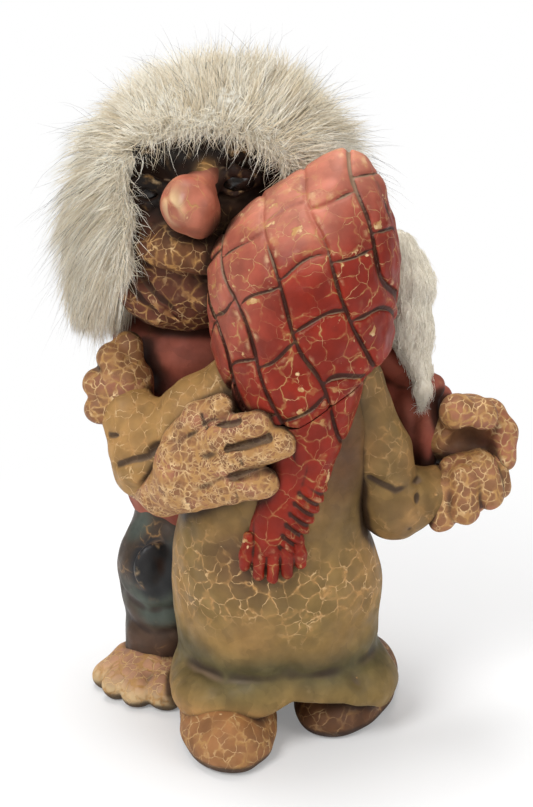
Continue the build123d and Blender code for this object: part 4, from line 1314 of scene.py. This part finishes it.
def egg_roots(count, centre, radii, draw):
    """Random places on an egg with their outward directions."""
    ways = unit(draw.normal(size=(count, 3)))
    return np.array(centre) + ways * np.array(radii), unit(ways / np.array(radii))


def along_skin(ways, normals):
    """Directions laid flat against a surface."""
    return unit(ways - normals * np.sum(ways * normals, axis=1, keepdims=True))


# Where the fur parts over the brow, and the middle of the face
PARTING = np.array((-19.0, -22.0, 166.0))
FACE_MIDDLE = np.array((-21.0, -12.0, 152.0))
DOWN = np.array((0.0, 0.0, -1.0))


def drift(roots, wave, seed):
    """A slow wandering direction, the same for neighbouring hairs."""
    return np.stack([ripple(roots.T, wave, seed + k) for k in range(3)], axis=1)


def wig_ways(roots, normals, lift, draw):
    """Fur combed away from the brow, flat on the crown, full and drooping at the sides."""
    flow = along_skin(roots - PARTING, normals)
    droop = 1.1 * (1 - smooth_step(normals[:, 2], 0.1, 0.8))[:, None]
    stray = 0.5 * drift(roots, 19, 320) + 0.4 * drift(roots, 9, 340) + 0.14 * draw.normal(size=roots.shape)
    lying = along_skin(flow + droop * DOWN + stray, normals)
    sides = 0.4 * smooth_step(normals[:, 0], 0.1, 0.6) + 0.3 * smooth_step(-normals[:, 0], 0.3, 0.8)
    uneven = 1 + 0.35 * ripple(roots.T, 11, 325)
    behind = 1 - 0.5 * smooth_step(normals[:, 1], 0.2, 0.8)
    full = lift * (1 + sides / 0.3) * uneven * behind
    return unit(lying + full[:, None] * normals + 0.08 * draw.normal(size=roots.shape))


def wig_coat(name, count, length, width, lift, curl, pull, tones, seed, material):
    """One coat of the wig's fur."""
    draw = np.random.default_rng(seed)
    roots, normals = egg_roots(count, FUR_CORE, tuple(r - 1.0 for r in FUR_CORE_RADII), draw)
    keep = bare_face(roots.T) > 0.5
    roots, normals = roots[keep], normals[keep]
    size = len(roots)
    ways = wig_ways(roots, normals, lift, draw)
    lengths = length * draw.uniform(0.7, 1.15, size)
    sag = (1 - smooth_step(normals[:, 2], 0.2, 0.9))[:, None]
    bends = (DOWN * (0.1 + 0.18 * sag) + 0.12 * drift(roots, 9, 330)) * lengths[:, None]
    bends = bends + draw.normal(size=(size, 3)) * 0.7
    curls = curl * draw.uniform(0.3, 1.4, size)
    paths = strand_paths(roots, ways, lengths, bends, curls, draw)
    paths = clumped(paths, 5.5, pull, draw)
    widths = width * draw.uniform(0.7, 1.2, size)
    share = np.clip(0.5 + 0.45 * ripple(roots.T, 8, 345) + 0.2 * draw.normal(size=size), 0, 1)
    shades = tones[0] + (tones[1] - tones[0]) * share
    strand_pieces(name, paths, widths, shades, "wig_fur", material)


FRINGE_HAIRS = 5200


def wig_fringe(material):
    """Short frizzy hairs along the edge over the brow."""
    draw = np.random.default_rng(307)
    roots, normals = egg_roots(60000, FUR_CORE, tuple(r - 2.5 for r in FUR_CORE_RADII), draw)
    edge = bare_face(roots.T)
    keep = (edge > -0.5) & (edge < 5) & (roots[:, 1] < 6) & (roots[:, 2] > 134)
    roots, normals = roots[keep][:FRINGE_HAIRS], normals[keep][:FRINGE_HAIRS]
    size = len(roots)
    inward = along_skin(FACE_MIDDLE - roots, normals)
    ways = unit(0.75 * normals + 0.4 * inward + 0.15 * DOWN + 0.45 * draw.normal(size=roots.shape))
    lengths = draw.uniform(4, 11, size)
    bends = DOWN * 2.2 + draw.normal(size=(size, 3)) * 1.8
    paths = strand_paths(roots, ways, lengths, bends, draw.uniform(0.5, 2.2, size), draw)
    widths = draw.uniform(0.14, 0.26, size)
    tones = draw.uniform(0.1, 0.9, size)
    strand_pieces("wig_fringe", paths, widths, tones, "wig_fur", material)


# Middle line of the hanging lock at its top, half way and end, and its radius there
LOCK_PARTS = (0, 0.5, 1)
LOCK_X = (-46.5, -50, -51)
LOCK_Y = (9, 9, 10)
LOCK_Z = (166, 148, 130)
LOCK_RADII = (8.5, 4.5)
LOCK_END = 112
LOCK_HAIRS = 7000


def lock_strands(material):
    """Long lock that hangs beside the face."""
    draw = np.random.default_rng(308)
    down = draw.uniform(0, 1, LOCK_HAIRS)
    middle = np.stack([np.interp(down, LOCK_PARTS, line) for line in (LOCK_X, LOCK_Y, LOCK_Z)], axis=1)
    around = unit(draw.normal(size=(LOCK_HAIRS, 3)) * (1, 1, 0.3))
    roots = middle + around * np.interp(down, (0, 1), LOCK_RADII)[:, None]
    keep = bare_face(roots.T) > -3.0
    roots, around = roots[keep], around[keep]
    size = len(roots)
    ways = unit(DOWN + 0.28 * around + np.array((-0.12, 0.0, 0.0)) + 0.1 * draw.normal(size=(size, 3)))
    lengths = np.minimum(draw.uniform(14, 30, size), (roots[:, 2] - LOCK_END) * 1.05)
    bends = -0.35 * around * lengths[:, None] * 0.5 + draw.normal(size=(size, 3)) * 1.2
    paths = strand_paths(roots, ways, lengths, bends, draw.uniform(0.3, 1.3, size), draw)
    paths = clumped(paths, 4.5, 0.45, draw)
    widths = draw.uniform(0.16, 0.3, size)
    tones = draw.uniform(0.0, 1.0, size) ** 0.8
    strand_pieces("wig_lock", paths, widths, tones, "wig_side_lock", material)


def wool_on(name, field, node, count, length, material, seed, kept=None, margin=3.0, step=0.9):
    """Fine wool combed down over a core, or over the kept part of it."""
    draw = np.random.default_rng(seed)
    low, high = node_room(node, margin)
    values = field(grid_places(low, high, step)).astype(np.float32)
    points, _ = surface(values, low, step, 3 * step)
    if kept:
        points = points[kept(points.T)]
    roots = points[draw.integers(0, len(points), count)] + draw.normal(size=(count, 3)) * 0.35
    normals = unit(np.stack([sample(slope, low, step, roots) for slope in np.gradient(values)], axis=1))
    ways = unit(along_skin(DOWN + 0.25 * draw.normal(size=(count, 3)), normals) + 0.1 * normals)
    lengths = length * draw.uniform(0.6, 1.2, count)
    bends = -1.5 * normals + draw.normal(size=(count, 3)) * 0.9
    paths = strand_paths(roots, ways, lengths, bends, draw.uniform(0.2, 0.9, count), draw)
    paths = clumped(paths, 4.0, 0.35, draw)
    widths = draw.uniform(0.12, 0.22, count)
    tones = draw.uniform(0, 0.8, count)
    strand_pieces(name, paths, widths, tones, node, material)


# Stage

# Place the lamps point at and half the width of the floor, in metres, and the strength of the even light
AIM = (0, 0, 0.1)
FLOOR_HALF = 4.0
AMBIENT = 0.38

# Lamps: name, place in metres, size, watts
LAMPS = (
    ("key", (-0.55, -0.75, 0.95), 0.5, 9.0),
    ("fill", (0.8, -0.6, 0.5), 0.6, 3.0),
    ("top", (-0.1, 0.25, 1.25), 0.6, 9.0),
)


def area_light(name, place, size, power):
    """A soft square lamp."""
    data = bpy.data.lights.new(name, "AREA")
    data.shape = "SQUARE"
    data.size = size
    data.energy = power
    lamp = bpy.data.objects.new(name, data)
    lamp.location = place
    lamp.rotation_mode = "QUATERNION"
    lamp.rotation_quaternion = (Vector(AIM) - Vector(place)).to_track_quat("-Z", "Y")
    bpy.context.scene.collection.objects.link(lamp)


def make_world():
    """White to the camera, an even soft light to the object."""
    world = bpy.data.worlds.new("studio")
    world.use_nodes = True
    tree = world.node_tree
    ray = tree.nodes.new("ShaderNodeLightPath")
    seen = tree.nodes.new("ShaderNodeMath")
    seen.operation = "MAXIMUM"
    tree.links.new(ray.outputs["Is Camera Ray"], seen.inputs[0])
    tree.links.new(ray.outputs["Is Transmission Ray"], seen.inputs[1])
    level = tree.nodes.new("ShaderNodeMapRange")
    level.inputs["To Min"].default_value = AMBIENT
    level.inputs["To Max"].default_value = 1.0
    tree.links.new(seen.outputs[0], level.inputs["Value"])
    back = tree.nodes["Background"]
    back.inputs["Color"].default_value = (1, 1, 1, 1)
    tree.links.new(level.outputs[0], back.inputs["Strength"])
    bpy.context.scene.world = world


def make_floor():
    """Wide pale floor that keeps the shadow near the figure and is white to the camera further out."""
    points = FLOOR_HALF / MM * np.array(((-1, -1, 0), (1, -1, 0), (1, 1, 0), (-1, 1, 0)))
    floor = mesh_object("floor", points, [np.array(((0, 1, 2, 3),))])
    net = Net("floor_white")
    net.finish("Base Color", net.mix(net.noise(3.0), rgba(np.array((0.93,) * 3)), rgba(np.array((0.9,) * 3))))
    net.finish("Roughness", 0.9)
    net.finish("Specular IOR Level", 0.1)
    away = net.add("ShaderNodeVectorMath", {0: net.where}, operation="LENGTH").outputs["Value"]
    glow = net.between(away, 0.075, 0.2, 0.2, 1.0)
    ray = net.add("ShaderNodeLightPath").outputs["Is Camera Ray"]
    white = net.add("ShaderNodeEmission", {"Color": (1, 1, 1, 1), "Strength": 1.0})
    values = {0: net.math("MULTIPLY", ray, glow), 1: net.shader.outputs[0], 2: white.outputs[0]}
    blend = net.add("ShaderNodeMixShader", values)
    net.tree.links.new(blend.outputs[0], net.tree.nodes["Material Output"].inputs["Surface"])
    floor.data.materials.append(net.material)


def make_camera():
    """The photograph's view."""
    data = bpy.data.cameras.new("camera")
    data.sensor_width = CAMERA_SENSOR
    data.lens = CAMERA_LENS
    camera = bpy.data.objects.new("camera", data)
    tilt = math.radians(CAMERA_ELEVATION)
    target = Vector(CAMERA_TARGET) * MM
    back = Vector((0, -math.cos(tilt), math.sin(tilt)))
    camera.location = target + back * CAMERA_DISTANCE * MM
    camera.rotation_mode = "QUATERNION"
    camera.rotation_quaternion = (-back).to_track_quat("-Z", "Y")
    bpy.context.scene.collection.objects.link(camera)
    bpy.context.scene.camera = camera


bpy.context.scene.view_settings.view_transform = "Standard"
make_camera()
make_floor()
make_world()
for lamp in LAMPS:
    area_light(*lamp)

# Paints: size of the flakes and width of the cracks in millimetres, share of fine lace and of chips,
# roughness, how broken the lines are, and dust and gloss where they differ from the usual
PAINT_LOOKS = {
    "dress_paint": dict(cell=4.6, crack=0.24, lace=0.05, chips=0.0, rough=0.58, broken=0.92),
    "shoe_paint": dict(cell=4.0, crack=0.3, lace=0.4, chips=0.0, rough=0.58, broken=0.7),
    "scarf_paint": dict(cell=5.6, crack=0.13, lace=0.06, chips=0.055, rough=0.5, broken=0.9, dusty=0.6,
                        gloss=0.22),
    "skin_paint": dict(cell=3.0, crack=0.34, lace=0.3, chips=0.02, rough=0.6, broken=0.45),
    "nose_paint": dict(cell=4.6, crack=0.14, lace=0.1, chips=0.03, rough=0.42, broken=0.85),
    "face_paint": dict(cell=3.7, crack=0.22, lace=0.3, chips=-0.05, rough=0.66, broken=0.7, gloss=0.14),
    "shirt_paint": dict(cell=4.4, crack=0.14, lace=0.02, chips=-0.06, rough=0.62, broken=0.95),
    "trouser_paint": dict(cell=4.2, crack=0.2, lace=0.02, chips=-0.06, rough=0.5, broken=0.9),
}
PAINTS = {name: painted(name, **look) for name, look in PAINT_LOOKS.items()}
PAINTS["eye_gloss"] = glossy_eye()

# Cast nodes, named as their forms: form, slot, mesh step in millimetres, paint, amount of cracks
CAST = (
    (her_dress, "dress_paint", 0.6, dress_tint, dress_crackle),
    (her_left_shoe, "shoe_paint", 0.5, shoe_tint, 0.55),
    (her_right_shoe, "shoe_paint", 0.5, shoe_tint, 0.3),
    (her_head, "skin_paint", 0.5, her_face_tint, 0.5),
    (her_nose, "nose_paint", 0.35, her_nose_tint, 0.3),
    (her_left_eye, "eye_gloss", 0.3, soot_tint, 0.0),
    (her_right_eye, "eye_gloss", 0.3, soot_tint, 0.0),
    (headscarf, "scarf_paint", 0.48, scarf_tint, 0.4),
    (scarf_tail, "scarf_paint", 0.4, scarf_tint, 0.4),
    (scarf_fringe, "scarf_paint", 0.3, scarf_tint, 0.3),
    (her_left_sleeve, "dress_paint", 0.45, sleeve_tint, 0.6),
    (her_right_sleeve, "dress_paint", 0.45, sleeve_tint, 0.3),
    (her_left_hand, "skin_paint", 0.35, skin_tint, 0.75),
    (her_right_hand, "skin_paint", 0.35, skin_tint, 0.85),
    (his_trousers, "trouser_paint", 0.7, trouser_tint, 0.16),
    (his_right_foot, "skin_paint", 0.4, foot_tint, 0.6),
    (his_left_foot, "skin_paint", 0.4, foot_tint, 0.6),
    (his_shirt, "shirt_paint", 0.7, shirt_tint, 0.1),
    (his_right_sleeve, "shirt_paint", 0.5, shirt_tint, 0.15),
    (his_left_sleeve, "shirt_paint", 0.45, shirt_tint, 0.15),
    (his_right_hand, "skin_paint", 0.35, skin_tint, 1.0),
    (his_left_hand, "skin_paint", 0.35, palm_tint, palm_crackle),
    (his_head, "face_paint", 0.5, his_face_tint, his_face_crackle),
    (his_nose, "nose_paint", 0.35, nose_tint, 0.35),
    (his_right_eye, "eye_gloss", 0.3, soot_tint, 0.0),
    (his_left_eye, "eye_gloss", 0.3, soot_tint, 0.0),
)

# Forms too deep inside others to shade them; the ground shades too
SHELTERED = (her_head, her_nose, her_left_eye, her_right_eye, scarf_fringe, his_right_eye, his_left_eye)
shading = [row[0] for row in CAST if row[0] not in SHELTERED]
around = Surroundings((*shading, wig_underfur, wig_lock_core, lambda p: p[2]))

for field, slot, step, tint, crackle in CAST:
    node = field.__name__
    cast_piece(f"{node}_cast", node, PAINTS[slot], field, step, tint, crackle, around)

hide = leathery("wig_hide", HIDE_BROWN)
felt = felted("grey_felt", FUR_PALE * 0.62, FUR_GREY * 0.4)
wool_felt = felted("white_felt", BONE, BONE * 0.9, 0.6)
# Darker roots of the grey fur: partly the fur's own colour, partly painted shade between the tufts
grey_fur = stranded("grey_fur", FUR_GREY * 0.75, FUR_PALE, FUR_GREY, 0.97)
white_wool = stranded("white_wool", BONE, BONE, BONE * 0.94, 0.99, 1.0)

# Hide and matted cores under the strands: piece, node, slot, material, form, mesh step, margin
CORES = (
    ("wig_hide_skin", "wig_hide", "wig_hide", hide, wig_hide, 0.6, 9.0),
    ("wig_underfur", "wig_fur", "grey_fur", felt, wig_underfur, 0.9, 5.0),
    ("wig_lock_core", "wig_side_lock", "grey_fur", felt, wig_lock_core, 0.7, 5.0),
    ("her_cheek_wool", "her_cheek_hair", "white_wool", wool_felt, cheek_hair_core, 0.6, 5.0),
    ("her_brow_wool", "her_brow_hair", "white_wool", wool_felt, brow_hair_core, 0.6, 5.0),
)
for name, node, slot, material, field, step, margin in CORES:
    cast_piece(name, node, material, field, step, soot_tint, 0.0, around, margin)

# Coats of the wig: hairs, length, width, lift off the hide, curl, pull into tufts, range of tones, seed
COATS = {
    "wig_short": (30000, 10, 0.28, 0.30, 0.8, 0.35, (0.0, 0.9), 301),
    "wig_long": (26000, 19, 0.20, 0.20, 1.1, 0.45, (0.0, 0.96), 302),
    "wig_guard": (1500, 24, 0.11, 0.26, 1.6, 0.15, (0.985, 1.0), 303),
}
for name, coat in COATS.items():
    wig_coat(name, *coat, grey_fur)
wig_fringe(grey_fur)
lock_strands(grey_fur)

# Short wool over the cores: piece, form, node, hairs, length, material, seed and the part that is kept
wool_on("wig_nap", wig_underfur, "wig_fur", 8600, 6, grey_fur, 311, cut_edge)
wool_on("her_cheek_strands", cheek_hair_core, "her_cheek_hair", 8600, 5, white_wool, 309)
wool_on("her_brow_strands", brow_hair_core, "her_brow_hair", 2500, 3.5, white_wool, 310)
